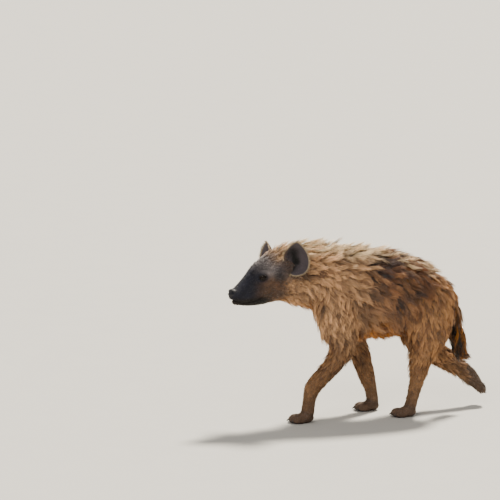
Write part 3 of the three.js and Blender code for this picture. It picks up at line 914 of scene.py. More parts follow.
@dataclass
class Mouth:
    """The line of the lips on both sides of the jaw, as distances back and heights."""

    line: Sequence[tuple[float, float]] = ((-4, 468), (16, 462), (36, 455), (62, 454), (90, 460), (110, 471))
    depth: float = 4.2
    half: float = 2.0

    def distance(self, back: Array, height: Array) -> Array:
        """How far places lie from the line.

        Args:
            back: Their distances back from the nose.
            height: Their heights.

        Returns:
            The distance of each.
        """
        least = np.full(back.shape, np.inf)
        for (b0, h0), (b1, h1) in zip(self.line, self.line[1:]):
            db, dh = b1 - b0, h1 - h0
            t = np.clip(((back - b0) * db + (height - h0) * dh) / (db * db + dh * dh), 0, 1)
            least = np.minimum(least, np.hypot(back - b0 - t * db, height - h0 - t * dh))
        return least


@dataclass
class Net:
    """A mesh as arrays: points and normals in the plan, edges, and triangles."""

    mesh: bpy.types.Mesh
    points: Array = field(init=False)
    normals: Array = field(init=False)
    edges: Array = field(init=False)
    triangles: Array = field(init=False)

    def __post_init__(self) -> None:
        """Reads the mesh."""
        self.refresh()

    def refresh(self) -> None:
        """Reads the mesh again after a change."""
        mesh = self.mesh
        mesh.calc_loop_triangles()
        self.points = self._read(mesh.vertices, "co", 3) * 1000.0
        self.normals = self._read(mesh.vertex_normals, "vector", 3)
        self.edges = self._read(mesh.edges, "vertices", 2, np.int32)
        self.triangles = self._read(mesh.loop_triangles, "vertices", 3, np.int32)

    @staticmethod
    def _read(items: Any, name: str, width: int, kind: Any = np.float32) -> Array:
        """One property of every item as an array."""
        flat = np.empty(len(items) * width, kind)
        items.foreach_get(name, flat)
        return flat.reshape(-1, width).astype(int if kind is np.int32 else float)

    def move(self, points: Array) -> None:
        """Moves the mesh's points.

        Args:
            points: Where they go, in the plan.
        """
        self.mesh.vertices.foreach_set("co", (points / 1000.0).astype(np.float32).ravel())
        self.mesh.update()
        self.refresh()

    def spread(self, values: Array, times: int, share: Any = 1.0) -> Array:
        """Values evened out over the mesh.

        Args:
            values: One row for each point.
            times: How often each is drawn to its neighbours.
            share: How far, as one number or one for each point.

        Returns:
            The new values.
        """
        a, b = self.edges.T
        count = len(self.points)
        around = np.bincount(a, minlength=count) + np.bincount(b, minlength=count)
        around = np.maximum(around, 1)[:, None]
        out = values.reshape(count, -1).copy()
        part = np.broadcast_to(np.asarray(share, float).reshape(-1, 1), (count, 1))
        for _ in range(times):
            mean = np.stack(
                [
                    np.bincount(a, column[b], count) + np.bincount(b, column[a], count)
                    for column in out.T
                ],
                1,
            )
            out += (mean / around - out) * part
        return out.reshape(values.shape)


class Skin:
    """The one skin of the whole animal, in plan millimetres until it is placed."""

    def __init__(self, anatomy: Anatomy, seats: Sequence[EyeSeat], mouth: Mouth, voxel: float = 3.0) -> None:
        """Joins, smooths and shapes the skin.

        Args:
            anatomy: The forms of the body.
            seats: Where the eyes sit.
            mouth: The line of the lips.
            voxel: The size of the cells where forms are joined, in millimetres.
        """
        self.anatomy = anatomy
        self.seats = seats
        self.mouth = mouth
        self.net = Net(self._joined(voxel))
        self._even()
        self._finer()
        self._shape_face()
        log.info("skin: %d points, %d triangles", len(self.net.points), len(self.net.triangles))

    def _joined(self, voxel: float) -> bpy.types.Mesh:
        """Joins the forms into one closed mesh.

        Args:
            voxel: The size of its cells in millimetres.

        Returns:
            The mesh, in metres of the plan.
        """
        points: list[Array] = []
        faces: list[tuple[int, ...]] = []
        count = 0
        for block, own in self.anatomy.blocks():
            points.append(block / 1000.0)
            faces.extend(tuple(i + count for i in face) for face in own)
            count += len(block)
        raw = bpy.data.meshes.new("skin_raw")
        raw.from_pydata(np.concatenate(points).tolist(), [], faces)
        bm = bmesh.new()
        bm.from_mesh(raw)
        bmesh.ops.recalc_face_normals(bm, faces=bm.faces)
        bm.to_mesh(raw)
        bm.free()
        holder = bpy.data.objects.new("skin_raw", raw)
        bpy.context.scene.collection.objects.link(holder)
        remesh = holder.modifiers.new("join", "REMESH")
        remesh.mode = "VOXEL"
        remesh.voxel_size = voxel / 1000.0
        solved = holder.evaluated_get(bpy.context.evaluated_depsgraph_get())
        mesh = bpy.data.meshes.new_from_object(solved)
        bpy.data.objects.remove(holder)
        bpy.data.meshes.remove(raw)
        return mesh

    def _even(self) -> None:
        """Smooths the joins of the body, but the face and paws less."""
        points = self.net.points
        back, _, _ = HEAD.read(points)
        head = 1 - smoothstep(120, 220, back)
        paw = smoothstep(230, 110, points[:, 2])
        for palm in self.anatomy.paws.values():
            off = np.linalg.norm(points - np.array(palm.palm), axis=1)
            paw = np.maximum(paw, 1 - smoothstep(90, 150, off))
        tail = smoothstep(296, 312, points[:, 0]) * (np.abs(points[:, 1]) < 30) * (points[:, 2] > 170)
        calm = np.maximum(np.maximum(head * 0.94, paw * 0.975), tail * 0.985)
        self.net.move(self.net.spread(points, 36, 0.7 * (1 - calm)))

    def _finer(self) -> None:
        """Splits the cells of the face once, and of the eyes and lips once more."""
        for reach in (1, 2):
            back, _, height = HEAD.read(self.net.points)
            if reach == 1:
                wanted = (back < 165) & (height > 400)
            else:
                wanted = self.mouth.distance(back, height) < 7
                for seat in self.seats:
                    wanted |= np.linalg.norm(self.net.points - seat.middle, axis=1) < 24
            bm = bmesh.new()
            bm.from_mesh(self.net.mesh)
            bm.verts.ensure_lookup_table()
            edges = [e for e in bm.edges if wanted[e.verts[0].index] and wanted[e.verts[1].index]]
            bmesh.ops.subdivide_edges(bm, edges=edges, cuts=1, use_grid_fill=True)
            bmesh.ops.triangulate(bm, faces=[f for f in bm.faces if len(f.verts) > 4])
            bm.to_mesh(self.net.mesh)
            bm.free()
            self.net.refresh()
            near = (HEAD.read(self.net.points)[0] < 170) & (self.net.points[:, 2] > 400)
            self.net.move(self.net.spread(self.net.points, 3, near * 0.5))

    def _shape_face(self) -> None:
        """Lays the lids over the eyes and draws the line of the mouth."""
        points = self.net.points.copy()
        for seat in self.seats:
            u, v, w = seat.read(points)
            rho = np.hypot(u, v)
            near = (rho < 30) & (w > -6)
            u, v, w, rho = u[near], v[near], w[near], rho[near]
            inside = seat.inside(u, v)
            ball = np.sqrt(np.maximum(seat.radius**2 - rho**2, 1.0))
            lid = np.sqrt(np.maximum((seat.radius + 2.6) ** 2 - rho**2, 0.0))
            fold = 0.9 * np.exp(-(((inside + 5.0) / 1.6) ** 2))
            hold = 1 - smoothstep(11.0, 19.0, rho)
            shaped = mix(w, np.maximum(lid, w * 0.55) - fold, hold)
            shaped = mix(shaped, ball + 1.5, smoothstep(-3.0, -0.6, inside))
            shaped = mix(shaped, ball - 3.4, smoothstep(-0.1, 1.3, inside))
            points[near] += (shaped - w)[:, None] * seat.gaze
        back, _, height = HEAD.read(points)
        gap = self.mouth.distance(back, height)
        crease = self.mouth.depth * np.exp(-((gap / self.mouth.half) ** 2)) - 1.2 * np.exp(
            -(((gap - 5.0) / 2.6) ** 2)
        )
        crease *= smoothstep(118, 100, back)
        points -= self.net.normals * crease[:, None] * ((back < 120) & (height > 425))[:, None]
        self.net.move(points)


@dataclass
class Growth:
    """How hair grows at each point of the skin: sizes in millimetres, angles in degrees."""

    length: Array
    rise: Array
    clump: Array
    width: Array
    hang: Array
    lock_gap: Array
    gap: Array
    lie: Array

    @classmethod
    def of(cls, skin: Skin) -> Growth:
        """Works out the growth from where each point lies on the body.

        Args:
            skin: The skin.

        Returns:
            The growth at each of its points.
        """
        points = skin.net.points
        share, angle, depth = skin.anatomy.read(points)
        weight = np.exp(-(depth - depth.min(0)) / 0.07)
        weight /= weight.sum(0)
        sizes = np.zeros((len(points), 7))
        lie = np.zeros((len(points), 3))
        for i, name in enumerate(skin.anatomy.forms):
            one, way = cls._own(skin.anatomy, name, points, share[i], angle[i])
            sizes += weight[i][:, None] * one
            lie += weight[i][:, None] * way
        for ear in EARS:
            off = points - ear.root
            near = smoothstep(112, 74, np.linalg.norm(off, axis=1)) * smoothstep(-60, -32, off @ ear.open)
            near *= smoothstep(485, 525, points[:, 2])
            sizes[:, 0] = mix(sizes[:, 0], 9.0, near)
            sizes[:, 1] = mix(sizes[:, 1], 20.0, near)
        even = skin.net.spread(np.column_stack([sizes, lie]), 10)
        lie = even[:, 7:]
        normals = skin.net.normals
        lie = unit(lie - normals * (lie * normals).sum(1)[:, None])
        return cls(*even[:, :7].T, lie)

    @classmethod
    def _own(
        cls, anatomy: Anatomy, name: str, p: Array, share: Array, angle: Array
    ) -> tuple[Array, Array]:
        """The growth on one form.

        Args:
            anatomy: The body's forms.
            name: The form.
            p: Plan points.
            share: The share of each along the form.
            angle: The angle of each round it.

        Returns:
            Length, rise, clump, width, hang, gap between locks and gap between tufts, and the lie.
        """
        x, _, z = p.T
        one = np.ones(len(p))
        if name == "torso":
            top = smoothstep(560, 612, z) * smoothstep(120, -60, x)
            belly = smoothstep(350, 312, z)
            length = mix(mix(68 * one, 60, top), 42, belly)
            length *= 1 - 0.2 * smoothstep(-40, -130, x) * (1 - top)
            length *= 1 - 0.22 * smoothstep(150, 260, x)
            rump = 5 * smoothstep(60, 200, x) * smoothstep(440, 520, z)
            rise = mix(mix(15 * one, 33, top), 24, belly) + rump
            turn = 0.1 + 0.85 * np.clip((610 - z) / 240, 0, 1) + 0.45 * np.clip((x - 60) / 200, 0, 1)
            lie = np.stack([np.cos(turn), 0 * x, -np.sin(turn)], 1)
            clump = mix(0.3 * one, 0.62, top)
            sizes = (length, rise, clump, 2.6 * one, mix(0.15 * one, 0.9, belly), 19 * one, 3.7 * one)
        elif name == "neck":
            top = smoothstep(585, 628, z)
            throat = smoothstep(470, 430, z)
            length = mix(mix(52 * one, 62, top), 46, throat)
            rise = mix(mix(16 * one, 40, top), 22, throat)
            turn = 0.15 + 0.8 * np.clip((600 - z) / 160, 0, 1.1)
            lie = np.stack([np.cos(turn), 0 * x, -np.sin(turn)], 1)
            clump = mix(0.32 * one, 0.62, top)
            sizes = (length, rise, clump, 2.4 * one, mix(0.15 * one, 0.6, throat), 16 * one, 3.5 * one)
        elif name == "head":
            back, side, height = HEAD.read(p)
            rear = smoothstep(150, 215, back)
            length = np.interp(back, [20, 60, 100, 140, 180, 215], [4.5, 6.5, 10.0, 16.0, 26.0, 40.0])
            crown = smoothstep(560, 600, height)
            beside = smoothstep(34, 54, np.abs(side))
            flat = beside * smoothstep(470, 520, height) * smoothstep(228, 205, back)
            length *= 1 - 0.4 * flat
            tall = crown * smoothstep(125, 195, back) * smoothstep(56, 34, np.abs(side))
            length += 20 * tall
            rise = mix(17 * one, 20, rear) + 18 * tall
            for seat in EYES:
                near = smoothstep(34, 17, np.linalg.norm(p - seat.middle, axis=1))
                length = mix(length, 2.6, near)
            down = 0.1 + 0.75 * smoothstep(560, 470, height) * smoothstep(60, 150, back)
            lie = HEAD.back * np.cos(down)[:, None] - np.array([0, 0, 1.0]) * np.sin(down)[:, None]
            lie = lie + HEAD.left * (np.sign(side) * 0.12)[:, None]
            width = np.interp(back, [20, 90, 200], [1.0, 1.3, 2.4])
            lock = np.interp(back, [20, 110, 200], [6, 7.5, 12])
            gap = np.interp(back, [20, 110, 200], [2.2, 2.6, 3.5])
            sizes = (length, rise, mix(0.75 * one, 0.4, rear), width, 0.1 * one, lock, gap)
        elif name == "tail":
            length = np.interp(share, [0, 0.2, 0.45, 0.7, 1], [34, 42, 70, 90, 86])
            lie = _along(anatomy.tail, share)
            rise = np.interp(share, [0, 0.4, 1], [16, 13, 11])
            sizes = (length, rise, 0.8 * one, 2.6 * one, 0.6 * one, 8 * one, 2.15 * one)
        elif name.endswith("_paw"):
            paw = anatomy.paws[name[:-4]]
            lie = np.broadcast_to(paw.ahead + 0.25 * paw.under, p.shape)
            long = 13.0 if paw.lifted else 7.0
            sizes = (long * one, 1.5 * long * one, 0.7 * one, 1.7 * one, 0 * one, 7 * one, 3.0 * one)
        else:
            limb = anatomy.legs[name]
            keys = [0, 0.2, 0.36, 0.5, 0.66, 0.8, 1]
            tall = [46, 44, 36, 24, 14, 10, 8] if "fore" in name else [46, 46, 42, 32, 18, 12, 9]
            length = np.interp(share, keys, tall)
            edges = (0.55, 0.95) if "hind" in name else (0.6, 1)
            fringe = smoothstep(*edges, np.sin(angle))
            length = length * (1 + 0.25 * fringe * (share < 0.6))
            if name == "hind_right":
                length = np.maximum(length, 26 * smoothstep(0.35, 0.5, share))
            lie = _along(limb, share) + np.array([0.22, 0, 0])
            rise = np.interp(share, [0, 0.4, 0.7, 1], [14, 13, 10, 9]) + 5 * fringe
            rise = rise + 12 * (name == "hind_right") * smoothstep(0.45, 0.6, share)
            lock = np.interp(share, [0, 0.4, 0.8], [14, 11, 7.5])
            gap = np.interp(share, [0, 0.4, 0.8], [4.0, 3.8, 3.5])
            width = np.interp(share, [0, 0.4, 0.8], [2.7, 2.4, 1.9])
            clump = np.interp(share, [0, 0.4, 0.8], [0.35, 0.45, 0.7])
            sizes = (length, rise, clump, width, 0.25 * one * (share < 0.6), lock, gap)
        return np.stack([np.broadcast_to(size, x.shape) for size in sizes], 1), lie


def _along(limb: Limb, share: Array) -> Array:
    """The direction of a limb's path at shares along it."""
    return limb.tangent[np.clip((share * (limb.samples - 1)).astype(int), 0, limb.samples - 1)]


@dataclass
class Roots:
    """Places on the skin where something grows, as triangles and shares of their corners."""

    triangle: Array
    corners: Array

    @classmethod
    def drawn(cls, net: Net, gap: Array, seed: int) -> Roots:
        """Draws places at random, about as far apart as the gap at each point says.

        Args:
            net: The skin's mesh.
            gap: The distance wanted at each point of it.
            seed: The seed of the draw.

        Returns:
            The places.
        """
        rng = np.random.default_rng(seed)
        a, b, c = (net.points[net.triangles[:, i]] for i in range(3))
        area = np.linalg.norm(np.cross(b - a, c - a), axis=1) / 2
        wanted = area / gap[net.triangles].mean(1) ** 2
        total = int(wanted.sum())
        edges = np.cumsum(wanted) / wanted.sum()
        triangle = np.searchsorted(edges, (np.arange(total) + rng.uniform(size=total)) / total)
        triangle = np.minimum(triangle, len(area) - 1)
        u, v = rng.uniform(size=(2, total))
        over = u + v > 1
        u[over], v[over] = 1 - u[over], 1 - v[over]
        return cls(triangle, np.stack([1 - u - v, u, v], 1))

    def value(self, net: Net, values: Array) -> Array:
        """Values of the skin's points, read at the places.

        Args:
            net: The skin's mesh.
            values: One row for each of its points.

        Returns:
            One row for each place.
        """
        rows = values[net.triangles[self.triangle]]
        return (rows * self.corners.reshape(self.corners.shape + (1,) * (rows.ndim - 2))).sum(1)

    def only(self, keep: Array) -> Roots:
        """The places that are kept."""
        return Roots(self.triangle[keep], self.corners[keep])

    def __len__(self) -> int:
        """How many places there are."""
        return len(self.triangle)


@dataclass
class Blades:
    """Closed three-sided blades of hair along paths."""

    paths: Array
    normal: Array
    width: Array

    def mesh(self) -> tuple[Array, Array, Array, Array]:
        """The blades as one mesh.

        Returns:
            The points, the triangles, and the blade and the share along it of each point.
        """
        count, stations, _ = self.paths.shape
        share = np.arange(stations) / (stations - 1)
        profile = np.interp(share, [0, 0.3, 0.7, 1], [0.75, 1.0, 0.7, 0.0])
        points = []
        for k in range(stations - 1):
            ahead = unit(self.paths[:, k + 1] - self.paths[:, max(k - 1, 0)])
            across = unit(np.cross(self.normal, ahead))
            up = np.cross(ahead, across)
            half = (self.width * profile[k] / 2)[:, None]
            middle = self.paths[:, k]
            points += [middle - across * half - up * half * 0.25, middle + across * half - up * half * 0.25]
            points.append(middle + up * half * 0.6)
        grid = np.stack([*points, self.paths[:, -1]], 1)
        each, last = 3 * stations - 2, 3 * (stations - 2)
        pattern = [(0, 2, 1)]
        for k in range(stations - 2):
            for i in range(3):
                a, b = 3 * k + i, 3 * k + (i + 1) % 3
                pattern += [(a, b, b + 3), (a, b + 3, a + 3)]
        pattern += [(last + i, last + (i + 1) % 3, each - 1) for i in range(3)]
        triangles = (np.arange(count)[:, None, None] * each + np.array(pattern)[None]).reshape(-1, 3)
        along = np.append(np.repeat(share[:-1], 3), 1.0)
        return grid.reshape(-1, 3), triangles, np.repeat(np.arange(count), each), np.tile(along, count)


@dataclass
class Coat:
    """The coat: locks that follow the lie of the hair, and the tufts that make them up."""

    skin: Skin
    growth: Growth
    steps: int = 4
    seed: int = 7

    def __post_init__(self) -> None:
        """Grows the locks, then the tufts."""
        net, growth = self.skin.net, self.growth
        self.tree = BVHTree.FromPolygons(net.points.tolist(), net.triangles.tolist())
        self.locks = Roots.drawn(net, growth.lock_gap, self.seed)
        self.lock_paths = self._lock_paths()
        self.roots = Roots.drawn(net, growth.gap, self.seed + 1)
        self._tufts()
        log.info("coat: %d locks, %d tufts", len(self.locks), len(self.roots))

    def _nearest(self, points: Array) -> tuple[Array, Array, Array]:
        """The nearest places on the skin.

        Args:
            points: Plan points.

        Returns:
            The places, the normals there and the triangles.
        """
        found = [self.tree.find_nearest(Vector(p)) for p in points.tolist()]
        triangle = np.array([f[2] for f in found])
        normal = self.skin.net.normals[self.skin.net.triangles[triangle]].mean(1)
        return np.array([tuple(f[0]) for f in found]), unit(normal), triangle

    def _lock_paths(self) -> Array:
        """The path of each lock, from its root to its tip.

        Returns:
            Points as (lock, station, xyz).
        """
        net, growth, roots = self.skin.net, self.growth, self.locks
        rng = np.random.default_rng(self.seed + 2)
        count = len(roots)
        length = roots.value(net, growth.length) * rng.uniform(0.62, 1.2, count)
        rise = np.radians(roots.value(net, growth.rise) * rng.uniform(0.7, 1.25, count))
        hang = roots.value(net, growth.hang)
        base = roots.value(net, net.points)
        normal = unit(roots.value(net, net.normals))
        way = unit(roots.value(net, growth.lie))
        across = np.cross(normal, way)
        long = smoothstep(12, 40, length)
        stray = rng.normal(size=count) * (0.10 + 0.10 * long)
        sweep = Ripple(120, 5)(base) * 0.5 * long + Ripple(42, 6)(base) * 0.42 * long
        way = unit(way + across * (stray + sweep)[:, None])
        wave = rng.uniform(0, 2 * np.pi, count)
        paths = [base - normal * 2.0]
        at = base
        step = length / self.steps
        for k in range(1, self.steps + 1):
            share = k / self.steps
            free = at + way * step[:, None]
            free[:, 2] -= hang * step * 0.25 * share
            surface, normal, triangle = self._nearest(free)
            lie = growth.lie[net.triangles[triangle]].mean(1)
            height = length * np.sin(rise) * share**0.8
            own = ((free - surface) * normal).sum(1)
            lift = np.maximum(mix(height, own + length * np.sin(rise) / self.steps, hang), height * 0.55)
            at = surface + normal * lift[:, None]
            across = np.cross(normal, way)
            curl = (np.sin(wave + share * 5.5) - np.sin(wave)) * length * 0.11 * long
            paths.append(at + across * curl[:, None])
            pull = mix(way, unit(lie), 0.45)
            pull[:, 2] -= 0.12 * long * share
            way = unit(pull - normal * ((pull * normal).sum(1) * (1 - hang))[:, None])
        return np.stack(paths, 1)

    def _tufts(self) -> None:
        """The path and width of every tuft."""
        net, growth, roots = self.skin.net, self.growth, self.roots
        rng = np.random.default_rng(self.seed + 3)
        base = roots.value(net, net.points)
        normal = unit(roots.value(net, net.normals))
        lock_base = self.locks.value(net, net.points)
        lock_normal = unit(self.locks.value(net, net.normals))
        grid = KDTree(len(lock_base))
        for i, p in enumerate((lock_base + lock_normal * 6.0).tolist()):
            grid.insert(p, i)
        grid.balance()
        jitter = rng.normal(size=base.shape) * roots.value(net, growth.lock_gap)[:, None] * 0.12
        own = np.array([grid.find(p)[1] for p in (base + normal * 6.0 + jitter).tolist()])
        keep = np.linalg.norm(self.lock_paths[own, 0] - base, axis=1) < 40.0
        self.roots = roots = roots.only(keep)
        base, normal, own = base[keep], normal[keep], own[keep]
        count = len(base)
        paths = self.lock_paths[own]
        offset = base - lock_base[own]
        clump = roots.value(net, growth.clump)
        reach = rng.uniform(0.62, 1.08, count)
        stations = np.arange(self.steps + 1) / self.steps
        spread = 1 - (1 - clump)[:, None] * (stations**0.8)[None, :]
        loose = rng.normal(size=(count, 1, 3)) * roots.value(net, growth.length)[:, None, None] * 0.05
        self.paths = paths + offset[:, None, :] * spread[..., None] + loose * stations[None, :, None] ** 1.5
        tip = self.paths[:, :1] + (self.paths - self.paths[:, :1]) * reach[:, None, None]
        self.paths = mix(self.paths, tip, stations[None, :, None])
        self.paths[:, 0] = base - normal * 1.6
        self.base, self.normal, self.own = base, normal, own
        self.length = roots.value(net, growth.length)
        self.width = roots.value(net, growth.width) * rng.uniform(0.7, 1.3, count)
        self.random = rng.uniform(size=count)
        self.lock_random = np.random.default_rng(self.seed + 4).uniform(size=len(self.locks))[own]
        reach = np.linalg.norm(self.paths[:, -1] - self.paths[:, 0], axis=1)
        clear = ~np.any([ear.covers(self.paths[:, 1:]).any(1) for ear in EARS], axis=0) | (reach < 14)
        for name in ("paths", "base", "normal", "own", "length", "width", "random", "lock_random"):
            setattr(self, name, getattr(self, name)[clear])
        self.roots = roots.only(clear)

    def tone(self, tones: Array, of_lock: bool) -> Array:
        """The skin's tone at the root of each tuft, or of the lock that it belongs to."""
        if of_lock:
            return self.locks.value(self.skin.net, tones)[self.own]
        return self.roots.value(self.skin.net, tones)


@dataclass(frozen=True)
class Palette:
    """The hair's colours, as linear red, green and blue."""

    cream: Colour = (1.0, 0.77, 0.48)
    sand: Colour = (0.6, 0.35, 0.18)
    flank: Colour = (0.265, 0.127, 0.054)
    brown: Colour = (0.1, 0.04, 0.018)
    rust: Colour = (0.21, 0.085, 0.038)
    spot: Colour = (0.034, 0.019, 0.02)
    gold: Colour = (0.42, 0.155, 0.018)
    leg: Colour = (0.25, 0.13, 0.058)
    thigh: Colour = (0.43, 0.22, 0.09)
    paw: Colour = (0.11, 0.068, 0.045)
    muzzle: Colour = (0.0125, 0.013, 0.023)
    jaw: Colour = (0.009, 0.006, 0.005)
    cheek: Colour = (0.088, 0.048, 0.029)
    brow: Colour = (0.18, 0.155, 0.155)
    crown: Colour = (0.62, 0.37, 0.17)
    ear: Colour = (0.115, 0.094, 0.108)
    shade: Colour = (0.050, 0.040, 0.043)
    # Painted shade for the deep hollow of the ears.
    hollow: Colour = (0.005, 0.004, 0.004)
    tuft: Colour = (0.01, 0.006, 0.004)
    # Painted light: the orange glow of backlit hair on the tail.
    flame: Colour = (0.3, 0.115, 0.016)


class Markings:
    """Paints spots and shades over the body, from the place of each hair's root."""

    gain = 2.0
    darkest = 0.006
    # Pale tones may stay above 1 up to this cap: a painted glow for pale hair lit from behind, as on the
    # mane.
    brightest = 1.15

    def __init__(self, skin: Skin, palette: Palette) -> None:
        """Reads the skin and paints it.

        Args:
            skin: The skin.
            palette: The colours.
        """
        self.palette = palette
        self.points = skin.net.points
        self.normals = skin.net.normals
        self.soles = {f"{name}_paw": paw.under for name, paw in skin.anatomy.paws.items()}
        self.share, self.angle, self.depth = skin.anatomy.read(self.points)
        self.names = list(skin.anatomy.forms)
        weight = np.exp(-(self.depth - self.depth.min(0)) / 0.07)
        self.weight = dict(zip(self.names, weight / weight.sum(0)))
        self.tone = skin.net.spread(self._painted(), 1)

    def _colour(self, name: str) -> Array:
        """A colour of the palette as a row."""
        return np.array(getattr(self.palette, name))[None]

    def _spots(self, spacing: float, size: float, seed: int, reach: float = 0.35) -> Array:
        """A field of rounded spots, 1 inside them and 0 outside.

        Args:
            spacing: The distance between spots.
            size: Their radius.
            seed: The seed of the draw.
            reach: How far the places are shaken, as a share of the spacing.

        Returns:
            The field at each point of the skin.
        """
        warp = np.stack([Ripple(60, seed + k)(self.points) for k in range(3)], 1) * size * 0.45
        at = (self.points + warp) / spacing
        cell = np.floor(at)
        least = np.full(len(at), np.inf)
        weights, channels = np.array([127.1, 311.7, 74.7]), np.array([0.0, 17.3, 43.9, 91.2])
        stretch, scatter = np.array([0.8, 1.0, 1.15]), 43758.5453
        for offset in np.ndindex(3, 3, 3):
            near = cell + np.array(offset) - 1
            mixed = (near @ weights)[:, None] + channels + seed
            shake = np.modf(np.abs(np.sin(mixed) * scatter))[0]
            middle = near + 0.5 + (shake[:, :3] - 0.5) * 2 * reach
            gap = np.linalg.norm((at - middle) * stretch, axis=1) * spacing
            least = np.minimum(least, gap / (0.6 + 0.8 * shake[:, 3]))
        return smoothstep(size * 1.15, size * 0.7, least)

    def _painted(self) -> Array:
        """Paints the skin from its broad shades to its spots, paws, face and tail.

        Returns:
            Linear red, green and blue, one row for each point of the skin.
        """
        x, _, z = self.points.T
        w = self.weight
        body = w["torso"] + w["neck"]
        tone = np.repeat(self._colour("flank"), len(x), 0)

        def paint(name: str, mask: Array) -> None:
            """Lays a colour of the palette over the tone, as far as its mask says."""
            nonlocal tone
            tone = mix(tone, self._colour(name), np.clip(mask, 0, 1)[:, None])

        back, side, height = HEAD.read(self.points)
        paint("sand", smoothstep(20, -140, x) * body * 0.85)
        paint("thigh", smoothstep(150, 240, x) * body * 0.7)
        broad = Ripple(120, 21)(self.points)
        paint("brown", body * smoothstep(0.2, 1.2, broad) * smoothstep(-200, 40, x) * 0.7)
        top = smoothstep(1.0, 0.35, np.abs(self.angle[0])) * w["torso"]
        crest = smoothstep(0.9, 0.3, np.abs(self.angle[1])) * w["neck"] + top * smoothstep(40, -50, x)
        paint("rust", smoothstep(430, 500, z) * smoothstep(-60, 30, x) * body * self._patches(75, 31) * 0.65)
        paint("cream", top * smoothstep(-20, 60, x) * self._patches(60, 34) * 0.75)
        # The pale cream mane and crest; with the gain its tone stays above 1, a painted glow of the backlit
        # mane.
        paint("cream", crest * (0.98 - 0.2 * self._patches(50, 36)))
        zone = smoothstep(-190, -20, x) * smoothstep(330, 420, z) * body
        paint("spot", self._spots(84, 33, 43) * zone * (0.8 + 0.18 * smoothstep(450, 540, z)))
        collar = smoothstep(-340, -270, x) * smoothstep(20, -60, x)
        collar = collar * smoothstep(470, 530, z) * smoothstep(640, 600, z)
        paint("brown", self._spots(74, 25, 83) * collar * body * 0.62)
        paint("gold", smoothstep(375, 318, z) * body * 0.85)
        paint("gold", smoothstep(470, 420, z) * w["neck"] * 0.45)
        for name in ("fore_left", "fore_right", "hind_left", "hind_right"):
            on = w[name]
            share = self.share[self.names.index(name)]
            paint("thigh" if "hind" in name else "sand", on * 0.85)
            edges = (0.35, 0.8) if "hind" in name else (0.15, 0.45)
            paint("leg", on * smoothstep(*edges, share))
            streaks = smoothstep(0.2, 1.0, Ripple(45, 37)(self.points))
            paint("brown", on * streaks * smoothstep(0.8, 0.4, share) * 0.6)
            paint("spot", on * self._spots(40, 10, 51) * smoothstep(0.9, 0.6, share) * 0.5)
            paint("paw", on * smoothstep(0.6, 1.0, share) * 0.9)
            paint("paw", w[f"{name}_paw"])
            sole = smoothstep(0.35, 0.75, self.normals @ self.soles[f"{name}_paw"])
            fore = smoothstep(0.4, 0.62, self.share[self.names.index(f"{name}_paw")])
            paint("muzzle", w[f"{name}_paw"] * sole * fore)
        self._paint_head(paint, back, side, height)
        share = self.share[self.names.index("tail")]
        paint("thigh", w["tail"])
        paint("brown", w["tail"] * smoothstep(0.1, 0.4, share) * 0.5)
        paint("tuft", w["tail"] * smoothstep(0.25, 0.5, share))
        # Painted light: an orange glow on the side of the tail that faces the light from behind.
        rear = smoothstep(-0.1, 0.5, self.normals[:, 0])
        paint("flame", w["tail"] * smoothstep(0.1, 0.4, share) * rear * 0.9)
        grain = 1 + 0.10 * Ripple(23, 61)(self.points) + 0.08 * Ripple(60, 62)(self.points)
        tone = np.maximum(tone * grain[:, None] * self.gain, self.darkest)
        # The cap keeps pale tones above 1, a painted glow of backlit pale hair.
        return tone * np.minimum(self.brightest / tone.max(1), 1.0)[:, None]

    def _patches(self, size: float, seed: int) -> Array:
        """Broad soft patches, 0 to 1, about half of the body."""
        return smoothstep(-0.2, 0.7, Ripple(size, seed)(self.points))

    def _paint_head(self, paint: Paint, back: Array, side: Array, height: Array) -> None:
        """Paints the face: dark muzzle and jaw, grey brow, brown cheeks and pale crown.

        Args:
            paint: Paints a colour where its mask says.
            back: The distance back from the nose of each point.
            side: Its distance from the middle.
            height: Its height.
        """
        head = self.weight["head"]
        paint("cheek", head)
        paint("brow", head * smoothstep(530, 566, height) * smoothstep(75, 115, back))
        paint("crown", head * smoothstep(140, 200, back) * smoothstep(570, 606, height) * 0.8)
        paint("cream", head * smoothstep(175, 215, back) * smoothstep(585, 612, height) * 0.6)
        paint("sand", head * smoothstep(170, 225, back) * 0.85)
        paint("brown", head * self._patches(40, 71) * smoothstep(120, 190, back) * 0.35)
        paint("thigh", head * smoothstep(480, 452, height) * smoothstep(125, 180, back) * 0.6)
        paint("muzzle", head * smoothstep(138, 72, back - 0.25 * (height - 520)))
        paint("jaw", head * smoothstep(476, 458, height - 0.05 * back) * smoothstep(165, 115, back))
        for ear in EARS:
            off = self.points - ear.root
            near = smoothstep(82, 58, np.linalg.norm(off, axis=1)) * smoothstep(-60, -40, off @ ear.open)
            paint("shade", near * smoothstep(512, 548, height) * 0.85)
        for seat in EYES:
            u, v, _ = seat.read(self.points)
            gap = np.hypot((u + 7.0) / 1.7, v)
            paint("muzzle", head * smoothstep(25, 7, gap) * (np.sign(side) == seat.side.value))
            rim = smoothstep(14, 8, np.hypot(u / 1.3, v)) * (np.sign(side) == seat.side.value)
            paint("jaw", head * rim)


